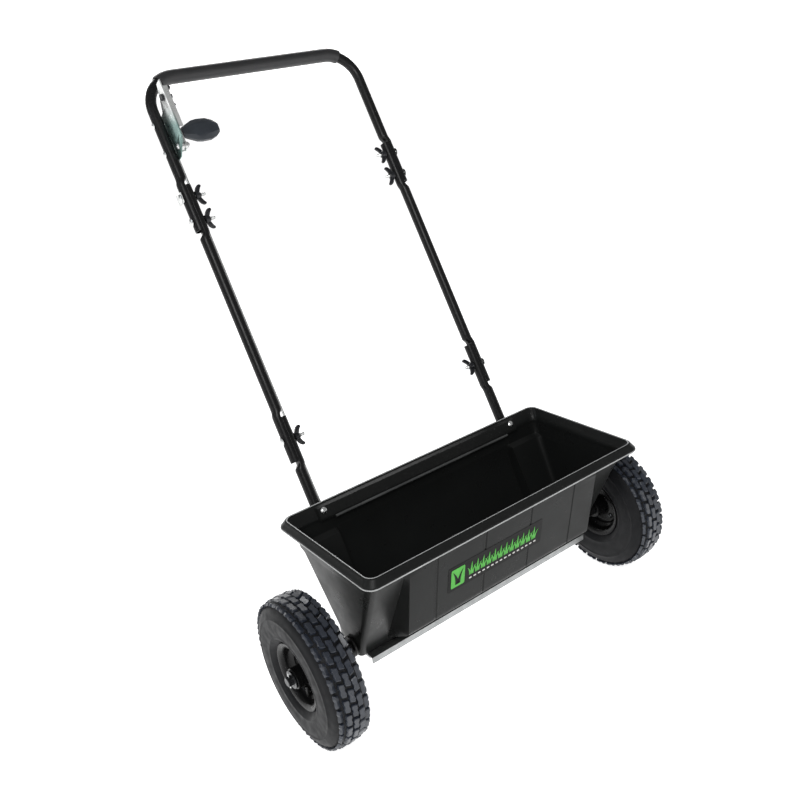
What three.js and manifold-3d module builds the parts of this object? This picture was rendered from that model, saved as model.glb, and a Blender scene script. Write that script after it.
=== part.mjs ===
// Push drop spreader: a moulded V hopper on two pneumatic wheels, with a folding tube handle.
// Millimetres, +Z up, +X along the axle, +Y rearwards to the person pushing.
// The model is laid out from the ground under the axle, then centred on its own footprint.

import * as THREE from 'three';
import { mergeVertices } from 'three/addons/utils/BufferGeometryUtils.js';
import Module from 'manifold-3d';

const wasm = await Module();
wasm.setup();

// ---------- driving dimensions ----------
const GAP = 0.3; // running and seating gap between touching pieces

const TYRE_R = 127;
const TYRE_WIDTH = 71;
const RIM_LIP_R = 57;
const RIM_WIDTH = 56;
const BEAD_R = 50.5;
const TRACK = 681;
const AXLE_Z = TYRE_R;
const AXLE_R = 8;
const AXLE_HALF = 385;
const HUB_R = 17;
const HUB_HALF = 33;

const RIM_TOP_Z = 324; // top of the hopper's rolled rim
const RIM_HALF_X = 292; // outer edge of the bead below the rim's top
const RIM_HALF_Y = 134;
const RIM_BEAD = [308, 314];
const MOUTH_HALF_X = 281;
const MOUTH_HALF_Y = 123;
const WALL = 3.2;
const WALL_TOP_Z = 304;
const WALL_TOP_HALF_X = 276;
const WALL_TOP_HALF_Y = 113;
const WALL_FOOT_Z = 112;
const WALL_FOOT_HALF_X = 259;
const WALL_FOOT_HALF_Y = 18;
const FRONT_BULGE_HALF_X = 205;
const REAR_BULGE_HALF_X = 201;
const BULGE_LIP_Z = 160; // where a bulge's steep face turns into its sloping floor
const BULGE_FOOT_Z = 126;

const PAN_SHEET = 1.6;
const PAN_HALF_X = 247;
const PAN_HALF_Y = 33;
const PAN_LIP = 11;
const TROUGH_HALF_Y = 14;
const TROUGH_FLOOR_Z = 97;
const DROP_SLOTS = 12;
const DROP_PITCH = 36;
const DROP_SLOT_X = 9;
const DROP_SLOT_Y = 15;

const TUBE_R = 9.5;
const TUBE_WALL = 1.6;
const HANDLE_HALF = 213; // handle tube axis from the middle plane
const HANDLE_LEAN = THREE.MathUtils.degToRad(27.7);
const HANDLE_Y = 143; // tube axis behind the axle, at the rim's height
const TUBE_FOOT = -176; // distances along the handle tubes, from the rim's height
const FOLD_BOLT = 108;
const FOLD_LAP = 40;
const SPLICE_BOLTS = [508, 552];
const SPLICE_START = 490;
const SPLICE_END = 572;
const CROSSBAR = 766;
const CORNER_R = 57;
const GRIP_R = 12.5;
const FLAT_SHIFT = 2.5; // a flattened tube end moves this far off the joint plane
const FLAT_DEPTH = FLAT_SHIFT + TUBE_R;

const SIDES = { left: -1, right: 1 };

// ---------- geometry helpers ----------
const v3 = (x, y, z) => new THREE.Vector3(x, y, z);

function signedVolume(geometry) {
  const position = geometry.getAttribute('position');
  const index = geometry.getIndex();
  const corners = [v3(), v3(), v3()];
  let sum = 0;
  for (let i = 0; i < index.count; i += 3) {
    corners.forEach((corner, k) => corner.fromBufferAttribute(position, index.getX(i + k)));
    sum += corners[0].dot(corners[1].cross(corners[2]));
  }
  return sum / 6;
}

// Merge a geometry's shared corners and turn its faces outwards.
function closed(geometry) {
  geometry.deleteAttribute('normal');
  geometry.deleteAttribute('uv');
  const merged = mergeVertices(geometry, 1e-4);
  if (signedVolume(merged) < 0) {
    const index = merged.getIndex();
    for (let i = 0; i < index.count; i += 3) {
      const first = index.getX(i);
      index.setX(i, index.getX(i + 1));
      index.setX(i + 1, first);
    }
  }
  return merged;
}

function toSolid(geometry) {
  const merged = closed(geometry);
  return new wasm.Manifold(new wasm.Mesh({
    numProp: 3,
    vertProperties: new Float32Array(merged.getAttribute('position').array),
    triVerts: new Uint32Array(merged.getIndex().array),
  }));
}

function fromSolid(solid) {
  const mesh = solid.getMesh();
  const geometry = new THREE.BufferGeometry();
  geometry.setAttribute('position', new THREE.BufferAttribute(new Float32Array(mesh.vertProperties), 3));
  geometry.setIndex(new THREE.BufferAttribute(new Uint32Array(mesh.triVerts), 1));
  return geometry;
}

const join = (first, ...others) => others.reduce((sum, other) => sum.add(other), first);
const cut = (first, ...tools) => tools.reduce((rest, tool) => rest.subtract(tool), first);

function fromRows(rows, capped) {
  const count = rows[0].length;
  const points = rows.flat();
  const index = [];
  const last = capped ? rows.length - 1 : rows.length;
  for (let row = 0; row < last; row += 1) {
    const next = (row + 1) % rows.length;
    for (let k = 0; k < count; k += 1) {
      const k2 = (k + 1) % count;
      index.push(row * count + k, row * count + k2, next * count + k2);
      index.push(row * count + k, next * count + k2, next * count + k);
    }
  }
  if (capped) {
    for (const [row, flip] of [[0, true], [rows.length - 1, false]]) {
      const centre = points.length;
      points.push(rows[row].reduce((sum, p) => sum.add(p), v3(0, 0, 0)).divideScalar(count));
      for (let k = 0; k < count; k += 1) {
        const edge = [row * count + k, row * count + ((k + 1) % count)];
        index.push(centre, ...(flip ? edge.reverse() : edge));
      }
    }
  }
  const geometry = new THREE.BufferGeometry();
  const flat = points.flatMap((p) => [p.x, p.y, p.z]);
  geometry.setAttribute('position', new THREE.Float32BufferAttribute(flat, 3));
  geometry.setIndex(index);
  return geometry;
}

function box(x, y, z) {
  const geometry = new THREE.BoxGeometry(x[1] - x[0], y[1] - y[0], z[1] - z[0]);
  geometry.translate((x[0] + x[1]) / 2, (y[0] + y[1]) / 2, (z[0] + z[1]) / 2);
  return toSolid(geometry);
}

function rod(start, end, radius, sides = 12) {
  const axis = end.clone().sub(start);
  const geometry = new THREE.CylinderGeometry(radius, radius, axis.length(), sides);
  const turn = new THREE.Quaternion().setFromUnitVectors(v3(0, 1, 0), axis.clone().normalize());
  geometry.applyQuaternion(turn);
  geometry.translate(...start.clone().add(end).divideScalar(2).toArray());
  return toSolid(geometry);
}

// A solid of revolution about X; the profile is a list of [radius, x].
function turned(profile, sides = 16) {
  const geometry = new THREE.LatheGeometry(profile.map(([r, x]) => new THREE.Vector2(r, x)), sides);
  geometry.rotateZ(-Math.PI / 2);
  return closed(geometry);
}

function ring(innerR, outerR, x0, x1, sides = 16) {
  return turned([[innerR, x0], [outerR, x0], [outerR, x1], [innerR, x1], [innerR, x0]], sides);
}

// A plate drawn in the Y-Z plane and given its thickness along X.
function plateYZ(outline, x0, x1) {
  const shape = new THREE.Shape(outline.map(([y, z]) => new THREE.Vector2(y, z)));
  const geometry = new THREE.ExtrudeGeometry(shape, { depth: x1 - x0, bevelEnabled: false });
  geometry.applyMatrix4(new THREE.Matrix4().makeBasis(v3(0, 1, 0), v3(0, 0, 1), v3(1, 0, 0)));
  geometry.translate(x0, 0, 0);
  return toSolid(geometry);
}

// Corners of a rectangle with rounded corners, at one height.
function roundedRing(halfX, halfY, corner, z, steps = 3) {
  const ringPoints = [];
  for (const [sx, sy, start] of [[1, 1, 0], [-1, 1, 1], [-1, -1, 2], [1, -1, 3]]) {
    for (let k = 0; k <= steps; k += 1) {
      const angle = (start + k / steps) * Math.PI / 2;
      const x = sx * (halfX - corner) + corner * Math.cos(angle);
      ringPoints.push(v3(x, sy * (halfY - corner) + corner * Math.sin(angle), z));
    }
  }
  return ringPoints;
}

// ---------- tubes ----------
// A station is {at, out, flat}: a point on the tube's axis, the direction away from the
// middle of the machine, and how far the section is squashed into a D: 0 is round, and
// 1 or -1 is a D whose flat side faces the joint plane from outside or inside.
function tubeSection(station, radius, wall, sides) {
  const points = [];
  const across = v3(0, 1, 0);
  const amount = Math.abs(station.flat);
  const facing = Math.sign(station.flat) || 1;
  for (let k = 0; k < sides; k += 1) {
    const angle = (2 * Math.PI * k) / sides;
    const round = radius * Math.cos(angle);
    const squashed = facing * Math.max(FLAT_SHIFT + facing * round, GAP / 2 + wall);
    const outwards = round + (squashed - round) * amount;
    points.push(station.at.clone()
      .addScaledVector(station.out, outwards)
      .addScaledVector(across, radius * Math.sin(angle)));
  }
  return points;
}

function tube(stations, { outer = TUBE_R, wall = TUBE_WALL, sides = 12 } = {}) {
  const skin = stations.map((station) => tubeSection(station, outer, 0, sides));
  const bore = stations.map((station) => tubeSection(station, outer - wall, wall, sides));
  return fromRows([...skin, ...bore.reverse()], false);
}

function straightTube(side, spans) {
  return tube(spans.map(([height, flat]) => ({
    at: v3(side * HANDLE_HALF, 0, height),
    out: v3(side, 0, 0),
    flat,
  })));
}

// Stations along the handle's bend, from one leg over the crossbar to the other.
function crossbarStations(bendSteps, firstAngle = 0) {
  const stations = [];
  const centreX = HANDLE_HALF - CORNER_R;
  for (const side of [-1, 1]) {
    for (let k = 0; k <= bendSteps; k += 1) {
      const share = side < 0 ? k / bendSteps : 1 - k / bendSteps;
      const angle = firstAngle + (Math.PI / 2 - firstAngle) * share;
      const out = v3(side * Math.cos(angle), 0, Math.sin(angle));
      const at = v3(side * centreX, 0, CROSSBAR - CORNER_R).addScaledVector(out, CORNER_R);
      stations.push({ at, out, flat: 0 });
    }
  }
  return stations;
}

const drillX = (x0, x1, y, z, radius = 3 + GAP) => rod(v3(x0, y, z), v3(x1, y, z), radius, 12);

// ---------- fasteners, drawn along X with their head outwards at x = 0 ----------
function boltGeometry(length, headR = 7.5, headHeight = 4, shankR = 3) {
  const profile = [[0, headHeight], [headR * 0.6, headHeight * 0.85], [headR, headHeight * 0.25]];
  return turned([...profile, [headR, 0], [shankR, 0], [shankR, -length], [0, -length]], 12);
}

function hexNutGeometry(acrossFlats, height, bore) {
  const hexR = acrossFlats / Math.sqrt(3);
  const body = rod(v3(0, 0, 0), v3(height, 0, 0), hexR, 6);
  return fromSolid(cut(body, rod(v3(-1, 0, 0), v3(height + 1, 0, 0), bore, 12)));
}

function wingNutGeometry() {
  const hub = toSolid(turned([[0, 0], [7.5, 0], [6.5, 4], [5, 10], [0, 10]], 12));
  const wings = [];
  for (const side of [-1, 1]) {
    const outline = [[2, 1], [9, 2.5], [16, 7], [18, 13], [14.5, 16], [9, 12], [2, 9]];
    const shape = new THREE.Shape(outline.map(([z, x]) => new THREE.Vector2(x, side * z)));
    const geometry = new THREE.ExtrudeGeometry(shape, { depth: 4, bevelEnabled: false });
    geometry.translate(0, 0, -2);
    geometry.rotateX(Math.PI / 2);
    wings.push(toSolid(geometry));
  }
  return fromSolid(cut(join(hub, ...wings), rod(v3(-1, 0, 0), v3(11, 0, 0), 3 + GAP, 12)));
}

// ---------- scene graph ----------
const finishes = {
  moulding: new THREE.MeshStandardMaterial({ color: 0x1b1c1c, roughness: 0.38, metalness: 0 }),
  powder_coat: new THREE.MeshStandardMaterial({ color: 0x141414, roughness: 0.42, metalness: 0.1 }),
  zinc: new THREE.MeshStandardMaterial({ color: 0xc9ccca, roughness: 0.32, metalness: 0.9 }),
  axle_steel: new THREE.MeshStandardMaterial({ color: 0x9b9d9f, roughness: 0.35, metalness: 0.9 }),
  tyre_rubber: new THREE.MeshStandardMaterial({ color: 0x232427, roughness: 0.8, metalness: 0 }),
  rim_paint: new THREE.MeshStandardMaterial({ color: 0x101010, roughness: 0.35, metalness: 0.2 }),
  grip_vinyl: new THREE.MeshStandardMaterial({ color: 0x2b2b2e, roughness: 0.6, metalness: 0 }),
  knob_plastic: new THREE.MeshStandardMaterial({ color: 0x161617, roughness: 0.5, metalness: 0 }),
  nylon: new THREE.MeshStandardMaterial({ color: 0x2a2a2a, roughness: 0.5, metalness: 0 }),
};

const spreader = new THREE.Group();
const handleFrame = new THREE.Group(); // Z runs up the handle tubes, Y squarely behind them
handleFrame.position.set(0, HANDLE_Y, RIM_TOP_Z);
handleFrame.rotation.x = -HANDLE_LEAN;
spreader.add(handleFrame);

function place(parent, name, geometry, finish, position = v3(0, 0, 0)) {
  const mesh = new THREE.Mesh(geometry, finishes[finish]);
  mesh.name = name;
  mesh.position.copy(position);
  parent.add(mesh);
  return mesh;
}

// The handle frame's own solids, moved into the machine's frame for a boolean.
function fromHandleFrame(solid) {
  handleFrame.updateMatrix();
  const geometry = fromSolid(solid);
  geometry.applyMatrix4(handleFrame.matrix);
  return toSolid(geometry);
}

// ---------- hopper ----------
function frontBulge(inset) {
  const outline = [
    [inset - WALL_TOP_HALF_Y, WALL_TOP_Z + inset * 2], [inset - 83, BULGE_LIP_Z + inset * 0.8],
    [inset - 28, BULGE_FOOT_Z + inset * 0.5], [-20, WALL_TOP_Z + inset * 2],
  ];
  return plateYZ(outline, inset - FRONT_BULGE_HALF_X, FRONT_BULGE_HALF_X - inset);
}

// The rear wall stands back less steeply, clear of the tubes and of the control rod.
function rearBulge(inset) {
  const outline = [
    [WALL_TOP_HALF_Y - inset, WALL_TOP_Z + inset * 2], [106 - inset, 250], [86 - inset, 200],
    [66 - inset, BULGE_LIP_Z + inset * 0.4], [28 - inset, BULGE_FOOT_Z + inset * 0.5],
    [20, WALL_TOP_Z + inset * 2],
  ];
  return plateYZ(outline, inset - REAR_BULGE_HALF_X, REAR_BULGE_HALF_X - inset);
}

// The step near the top of the rear wall, which backs the handle tubes.
function rearStep(inset) {
  const outline = [
    [60, 273 + inset], [104 - inset, 273 + inset], [108 - inset, 277 + inset],
    [WALL_TOP_HALF_Y - inset, WALL_TOP_Z + inset * 2], [60, WALL_TOP_Z + inset * 2],
  ];
  return plateYZ(outline, inset - 268, 268 - inset);
}

function hopperShell(inset, top) {
  const rise = inset > 0 ? 4 : 0; // the cavity runs out through the foot
  return toSolid(fromRows([
    roundedRing(WALL_FOOT_HALF_X - inset, WALL_FOOT_HALF_Y - inset, 8, WALL_FOOT_Z - rise),
    roundedRing(WALL_TOP_HALF_X - inset, WALL_TOP_HALF_Y - inset, 15, WALL_TOP_Z),
    roundedRing(MOUTH_HALF_X + WALL - inset, MOUTH_HALF_Y + WALL - inset, 17, top),
  ], true));
}

function block(halfX, halfY, corner, z0, z1) {
  return toSolid(fromRows([
    roundedRing(halfX, halfY, corner, z0),
    roundedRing(halfX, halfY, corner, z1),
  ], true));
}

const BAND_FACE = -24; // inner face of the band that backs the handle tubes
const BAND_TOP = -13;
const BAND_FOOT = -43;
const PAD_HALF = 12;
const HOPPER_SCREW = -24; // along the handle tubes

function tubePads(front, back) {
  return [-1, 1].map((side) => fromHandleFrame(box(
    [side * HANDLE_HALF - PAD_HALF, side * HANDLE_HALF + PAD_HALF],
    [front, back],
    [BAND_FOOT, BAND_TOP],
  )));
}

function makeHopper() {
  const rim = cut(
    toSolid(fromRows([
      roundedRing(RIM_HALF_X - 1, RIM_HALF_Y - 1, 18, RIM_BEAD[0]),
      roundedRing(RIM_HALF_X, RIM_HALF_Y, 19, RIM_BEAD[0] + 1.5),
      roundedRing(RIM_HALF_X, RIM_HALF_Y, 19, RIM_BEAD[1]),
      roundedRing(MOUTH_HALF_X + WALL, MOUTH_HALF_Y + WALL, 17, RIM_TOP_Z),
    ], true)),
    block(RIM_HALF_X - WALL, RIM_HALF_Y - WALL, 16, WALL_TOP_Z - 5, RIM_BEAD[1] - 2),
  );
  const ear = HANDLE_HALF + PAD_HALF;
  const outside = join(
    hopperShell(0, RIM_TOP_Z),
    rim,
    frontBulge(0),
    rearBulge(0),
    rearStep(0),
    ...tubePads(BAND_FACE + 6, -TUBE_R - GAP),
  );
  const band = fromHandleFrame(box([-ear, ear], [BAND_FACE, BAND_FACE + 14], [BAND_FOOT, BAND_TOP]));
  const cavity = cut(
    join(
      hopperShell(WALL, RIM_TOP_Z + 4),
      frontBulge(WALL),
      rearBulge(WALL),
      rearStep(WALL),
    ),
    band,
    ...tubePads(BAND_FACE, -TUBE_R - GAP),
  );
  const tubeWays = [-1, 1].map((side) => fromHandleFrame(rod(
    v3(side * HANDLE_HALF, 0, -260),
    v3(side * HANDLE_HALF, 0, 60),
    TUBE_R + 1.2,
  )));
  const screwHoles = [-1, 1].map((side) => fromHandleFrame(rod(
    v3(side * HANDLE_HALF, -40, HOPPER_SCREW),
    v3(side * HANDLE_HALF, 12, HOPPER_SCREW),
    2.5 + GAP,
  )));
  const axleHoles = rod(v3(-300, 0, AXLE_Z), v3(300, 0, AXLE_Z), 12 + GAP + 0.4, 16);
  const below = box([-300, 300], [-60, 60], [80, WALL_FOOT_Z]);
  return cut(outside, cavity, ...tubeWays, ...screwHoles, axleHoles, below);
}

place(spreader, 'hopper', fromSolid(makeHopper()), 'moulding');

// ---------- bottom pan, shutter and its rails ----------
const PAN_TOP_Z = WALL_FOOT_Z - GAP;

function makePan() {
  const topSheet = [PAN_TOP_Z - PAN_SHEET, PAN_TOP_Z];
  const flange = box([-PAN_HALF_X, PAN_HALF_X], [-PAN_HALF_Y, PAN_HALF_Y], topSheet);
  const lips = [-1, 1].map((side) => {
    const edges = [side * PAN_HALF_Y, side * (PAN_HALF_Y - PAN_SHEET)].sort((a, b) => a - b);
    return box([-PAN_HALF_X, PAN_HALF_X], edges, [PAN_TOP_Z - PAN_LIP, PAN_TOP_Z]);
  });
  const troughX = PAN_HALF_X - 6;
  const trough = box([-troughX, troughX], [-TROUGH_HALF_Y, TROUGH_HALF_Y], [TROUGH_FLOOR_Z, PAN_TOP_Z]);
  const hollow = box(
    [-troughX + PAN_SHEET, troughX - PAN_SHEET],
    [-TROUGH_HALF_Y + PAN_SHEET, TROUGH_HALF_Y - PAN_SHEET],
    [TROUGH_FLOOR_Z + PAN_SHEET, PAN_TOP_Z + 5],
  );
  return cut(join(flange, ...lips, trough), hollow, ...dropSlots(0, [90, 105]));
}

function dropSlots(shift, z) {
  const slots = [];
  for (let k = 0; k < DROP_SLOTS; k += 1) {
    const x = (k - (DROP_SLOTS - 1) / 2) * DROP_PITCH + shift;
    slots.push(box([x - DROP_SLOT_X / 2, x + DROP_SLOT_X / 2], [-DROP_SLOT_Y / 2, DROP_SLOT_Y / 2], z));
  }
  return slots;
}

place(spreader, 'drop_pan', fromSolid(makePan()), 'zinc');

const SHUTTER_TOP_Z = TROUGH_FLOOR_Z - GAP;
const SHUTTER_SHEET = 1.6;
const SHUTTER_OFFSET = 1.9; // its slots line up with the pan's when the lever is fully forward
const SHUTTER_HALF_X = 226;
const SHUTTER_HALF_Y = 14;
const CRANK_X = -160; // the bell crank's pin, and the plane that it turns in
const CRANK_Y = 63.5;
const CRANK_Z = 122;
const CRANK_SHEET = 3;
const ROD_R = 2.5;
const ROD_X = -197; // inboard of the flattened tube ends, which it passes when the handle folds
const ROD_Y = 14.5; // in the handle frame

function makeShutter() {
  const z = [SHUTTER_TOP_Z - SHUTTER_SHEET, SHUTTER_TOP_Z];
  const blade = box([-SHUTTER_HALF_X, SHUTTER_HALF_X], [-SHUTTER_HALF_Y, SHUTTER_HALF_Y], z);
  const tongue = box([CRANK_X - 11, CRANK_X + 11], [SHUTTER_HALF_Y - 1, CRANK_Y + 10], z);
  const crankSlot = box([CRANK_X - 5.5, CRANK_X + 5.5], [CRANK_Y - 4, CRANK_Y + 4], [z[0] - 1, z[1] + 1]);
  return cut(join(blade, tongue), crankSlot, ...dropSlots(SHUTTER_OFFSET, [z[0] - 1, z[1] + 1]));
}

place(spreader, 'shutter', fromSolid(makeShutter()), 'zinc');

for (const [name, side] of [['front', -1], ['rear', 1]]) {
  const band = (inner, outer) => [side * inner, side * outer].sort((a, b) => a - b);
  const post = box([-228, 228], band(TROUGH_HALF_Y + GAP, TROUGH_HALF_Y + GAP + 1.6), [92.6, 107]);
  const shelf = box([-228, 228], band(TROUGH_HALF_Y - 4, TROUGH_HALF_Y + GAP + 1.6), [92.6, 94.4]);
  const tongueWay = box([CRANK_X - 26, CRANK_X + 26], [TROUGH_HALF_Y + 0.1, 20], [94.5, 97.5]);
  const rail = cut(join(post, shelf), ...(side > 0 ? [tongueWay] : []));
  place(spreader, `shutter_rail_${name}`, fromSolid(rail), 'zinc');
}

// ---------- bell crank ----------
function makeCrankBracket() {
  const footZ = [PAN_TOP_Z + GAP, PAN_TOP_Z + 2.3];
  const foot = box([CRANK_X - 13, CRANK_X + 13], [WALL_FOOT_HALF_Y + 2, CRANK_Y - 5], footZ);
  const upright = box([CRANK_X - 13, CRANK_X + 13], [CRANK_Y - 7, CRANK_Y - 5], [PAN_TOP_Z + GAP, 131]);
  const pin = rod(v3(CRANK_X, CRANK_Y - 6, CRANK_Z), v3(CRANK_X, CRANK_Y + 6, CRANK_Z), 3);
  return join(foot, upright, pin);
}

place(spreader, 'crank_bracket', fromSolid(makeCrankBracket()), 'zinc');

function makeBellCrank() {
  const y0 = CRANK_Y - CRANK_SHEET / 2;
  const y1 = CRANK_Y + CRANK_SHEET / 2;
  const boss = rod(v3(CRANK_X, y0, CRANK_Z), v3(CRANK_X, y1, CRANK_Z), 8);
  const rodArm = box([ROD_X, CRANK_X], [y0, y1], [CRANK_Z - 6, CRANK_Z + 6]);
  const rodEnd = rod(v3(ROD_X - 1.2, y0, CRANK_Z), v3(ROD_X - 1.2, y1, CRANK_Z), 8);
  const bladeArm = box([CRANK_X - 4, CRANK_X + 4], [y0, y1], [93.5, CRANK_Z]);
  const pinHole = rod(v3(CRANK_X, y0 - 1, CRANK_Z), v3(CRANK_X, y1 + 1, CRANK_Z), 3 + GAP);
  const rodHole = box([ROD_X - 5.6, ROD_X + 3.2], [y0 - 1, y1 + 1], [CRANK_Z - 3.8, CRANK_Z + 3.8]);
  return cut(join(boss, rodArm, rodEnd, bladeArm), pinHole, rodHole);
}

place(spreader, 'bell_crank', fromSolid(makeBellCrank()), 'zinc');

// ---------- axle, agitator and bushes ----------
const PIN_X = TRACK / 2 + 27;

function makeAxle() {
  const bar = rod(v3(-AXLE_HALF, 0, AXLE_Z), v3(AXLE_HALF, 0, AXLE_Z), AXLE_R, 16);
  const drivePinHole = rod(v3(PIN_X, 0, AXLE_Z - 20), v3(PIN_X, 0, AXLE_Z + 20), 2.5 + GAP, 12);
  const cotterHoles = [-1, 1].map((side) => {
    const x = side * (AXLE_HALF - 5);
    return rod(v3(x, 0, AXLE_Z - 20), v3(x, 0, AXLE_Z + 20), 1.5 + GAP, 8);
  });
  return cut(bar, drivePinHole, ...cotterHoles);
}

const AXLE_LINE = v3(0, 0, AXLE_Z);
place(spreader, 'axle', fromSolid(makeAxle()), 'axle_steel');

function makeAgitator() {
  const fingers = [];
  const star = new THREE.Shape();
  for (let k = 0; k < 4; k += 1) {
    const spoke = (angle, radius) => [radius * Math.cos(angle), radius * Math.sin(angle)];
    const start = (k * Math.PI) / 2;
    const corners = [spoke(start - 0.16, 19.5), spoke(start + 0.16, 19.5), spoke(start + Math.PI / 4, 10.5)];
    corners.forEach(([a, b], i) => (k + i === 0 ? star.moveTo(a, b) : star.lineTo(a, b)));
  }
  for (let k = 0; k < DROP_SLOTS - 1; k += 1) {
    const geometry = new THREE.ExtrudeGeometry(star, { depth: 3, bevelEnabled: false });
    geometry.rotateY(Math.PI / 2);
    geometry.rotateX((k * Math.PI) / 8);
    geometry.translate((k - (DROP_SLOTS - 2) / 2) * DROP_PITCH - 1.5, 0, 0);
    fingers.push(toSolid(geometry));
  }
  const sleeve = rod(v3(-232, 0, 0), v3(232, 0, 0), 11);
  return cut(join(sleeve, ...fingers), rod(v3(-240, 0, 0), v3(240, 0, 0), AXLE_R + GAP));
}

place(spreader, 'agitator', fromSolid(makeAgitator()), 'nylon', AXLE_LINE);

for (const [name, side] of Object.entries(SIDES)) {
  const wallX = WALL_FOOT_HALF_X + 3.3; // the end wall at the top of the bush flange
  const profile = [
    [AXLE_R + GAP, wallX - 8], [12, wallX - 8], [12, wallX + GAP], [18, wallX + GAP],
    [18, wallX + 4], [AXLE_R + GAP, wallX + 4], [AXLE_R + GAP, wallX - 8],
  ];
  const bush = turned(profile.map(([r, x]) => [r, side * x]));
  place(spreader, `axle_bush_${name}`, bush, 'nylon', AXLE_LINE);
  const spacer = ring(AXLE_R + GAP, 11.5, side * (wallX + 5), side * (TRACK / 2 - HUB_HALF - 1));
  place(spreader, `axle_spacer_${name}`, spacer, 'axle_steel', AXLE_LINE);
  const washerX = TRACK / 2 + HUB_HALF + 1;
  const washer = ring(AXLE_R + GAP, 15, side * washerX, side * (washerX + 2));
  place(spreader, `axle_washer_${name}`, washer, 'zinc', AXLE_LINE);
  const cotterX = side * (AXLE_HALF - 5);
  const cotter = rod(v3(cotterX, 0, AXLE_Z - 13), v3(cotterX, 0, AXLE_Z + 15), 1.5, 8);
  place(spreader, `cotter_pin_${name}`, fromSolid(cotter), 'zinc');
}

const drivePin = rod(v3(PIN_X, 0, AXLE_Z - 21), v3(PIN_X, 0, AXLE_Z + 21), 2.5, 12);
place(spreader, 'drive_pin', fromSolid(drivePin), 'zinc');

// ---------- wheels ----------
const VALVE_X = 13;

function makeTyre() {
  const half = TYRE_WIDTH / 2;
  const bead = [[BEAD_R + 1.2, -half + 12], [RIM_LIP_R + 1.5, -half + 10.4]];
  const sidewall = [[64, -half + 4], [82, -half], [100, -half + 1.2]];
  const shoulder = [[115, -half + 7], [124, -half + 17]];
  const outside = [...bead, ...sidewall, ...shoulder];
  const mirror = (points) => points.map(([r, x]) => [r, -x]).reverse();
  const liner = [[BEAD_R + 1.2, half - 17], [RIM_LIP_R + 5, half - 10], [90, half - 7], [108, half - 14]];
  const crown = [[TYRE_R, 0]];
  const profile = [...outside, ...crown, ...mirror(outside), ...liner, [116, 0], ...mirror(liner)];
  return turned([...profile, profile[0]], 32);
}

function makeRim() {
  const half = RIM_WIDTH / 2;
  const outer = [[RIM_LIP_R, half], [RIM_LIP_R, half - 2], [BEAD_R, half - 4], [BEAD_R - 1, 14], [42, 9]];
  const mirror = (points) => points.map(([r, x]) => [r, -x]).reverse();
  const barrel = [...outer, ...mirror(outer)];
  const inside = [[BEAD_R - 3, -half + 2], [BEAD_R - 4, -13], [39.5, -8], [39.5, -2]];
  const hub = [[HUB_R, -2], [HUB_R, -HUB_HALF], [AXLE_R + GAP, -HUB_HALF]];
  const bore = [[AXLE_R + GAP, HUB_HALF], [HUB_R, HUB_HALF], [HUB_R, 2]];
  const web = [[39.5, 2], [39.5, 8], [BEAD_R - 4, 13], [BEAD_R - 3, half - 2]];
  const profile = [...barrel, ...inside, ...hub, ...bore, ...web];
  return turned([...profile, profile[0]], 24);
}

for (const [name, side] of Object.entries(SIDES)) {
  const centre = v3((side * TRACK) / 2, 0, AXLE_Z);
  place(spreader, `tyre_${name}`, makeTyre(), 'tyre_rubber', centre);
  const pinHole = rod(v3(27, 0, -30), v3(27, 0, 30), 2.5 + GAP, 12);
  const valveHole = rod(v3(VALVE_X, 0, -36), v3(VALVE_X, 0, -60), 3 + GAP, 12);
  const holes = side > 0 ? [pinHole, valveHole] : [valveHole];
  const rim = toSolid(makeRim());
  const rimGeometry = fromSolid(cut(rim, ...holes));
  if (side < 0) rimGeometry.rotateZ(Math.PI);
  place(spreader, `wheel_rim_${name}`, rimGeometry, 'rim_paint', centre);
  const stem = rod(v3(side * VALVE_X, 0, -27), v3(side * VALVE_X, 0, -53), 3, 12);
  place(spreader, `valve_stem_${name}`, fromSolid(stem), 'nylon', centre);
}

// ---------- handle tubes ----------
for (const [name, side] of Object.entries(SIDES)) {
  const foldTop = FOLD_BOLT + FOLD_LAP;
  const foldFoot = FOLD_BOLT - FOLD_LAP;
  const inner = -1;
  const outer = 1;
  const boltHole = (height) => drillX(side * (HANDLE_HALF - 15), side * (HANDLE_HALF + 15), 0, height);

  const lower = toSolid(straightTube(side, [
    [TUBE_FOOT, 0], [foldFoot - 14, 0], [foldFoot - 2, inner], [foldTop, inner],
  ]));
  const screwHole = rod(
    v3(side * HANDLE_HALF, -12, HOPPER_SCREW),
    v3(side * HANDLE_HALF, 0, HOPPER_SCREW),
    2.5 + GAP,
  );
  const standHole = drillX(side * (HANDLE_HALF - 15), side * (HANDLE_HALF + 15), 0, TUBE_FOOT + 14);
  const lowerTube = cut(lower, boltHole(FOLD_BOLT), standHole, screwHole);
  place(handleFrame, `lower_tube_${name}`, fromSolid(lowerTube), 'powder_coat');

  const middle = toSolid(straightTube(side, [
    [foldFoot, outer], [foldTop + 2, outer], [foldTop + 14, 0],
    [SPLICE_START - 14, 0], [SPLICE_START - 2, inner], [SPLICE_END, inner],
  ]));
  const middleTube = cut(middle, boltHole(FOLD_BOLT), ...SPLICE_BOLTS.map(boltHole));
  place(handleFrame, `middle_tube_${name}`, fromSolid(middleTube), 'powder_coat');
}

const GAUGE_BOLTS = [632, 684];

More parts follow.
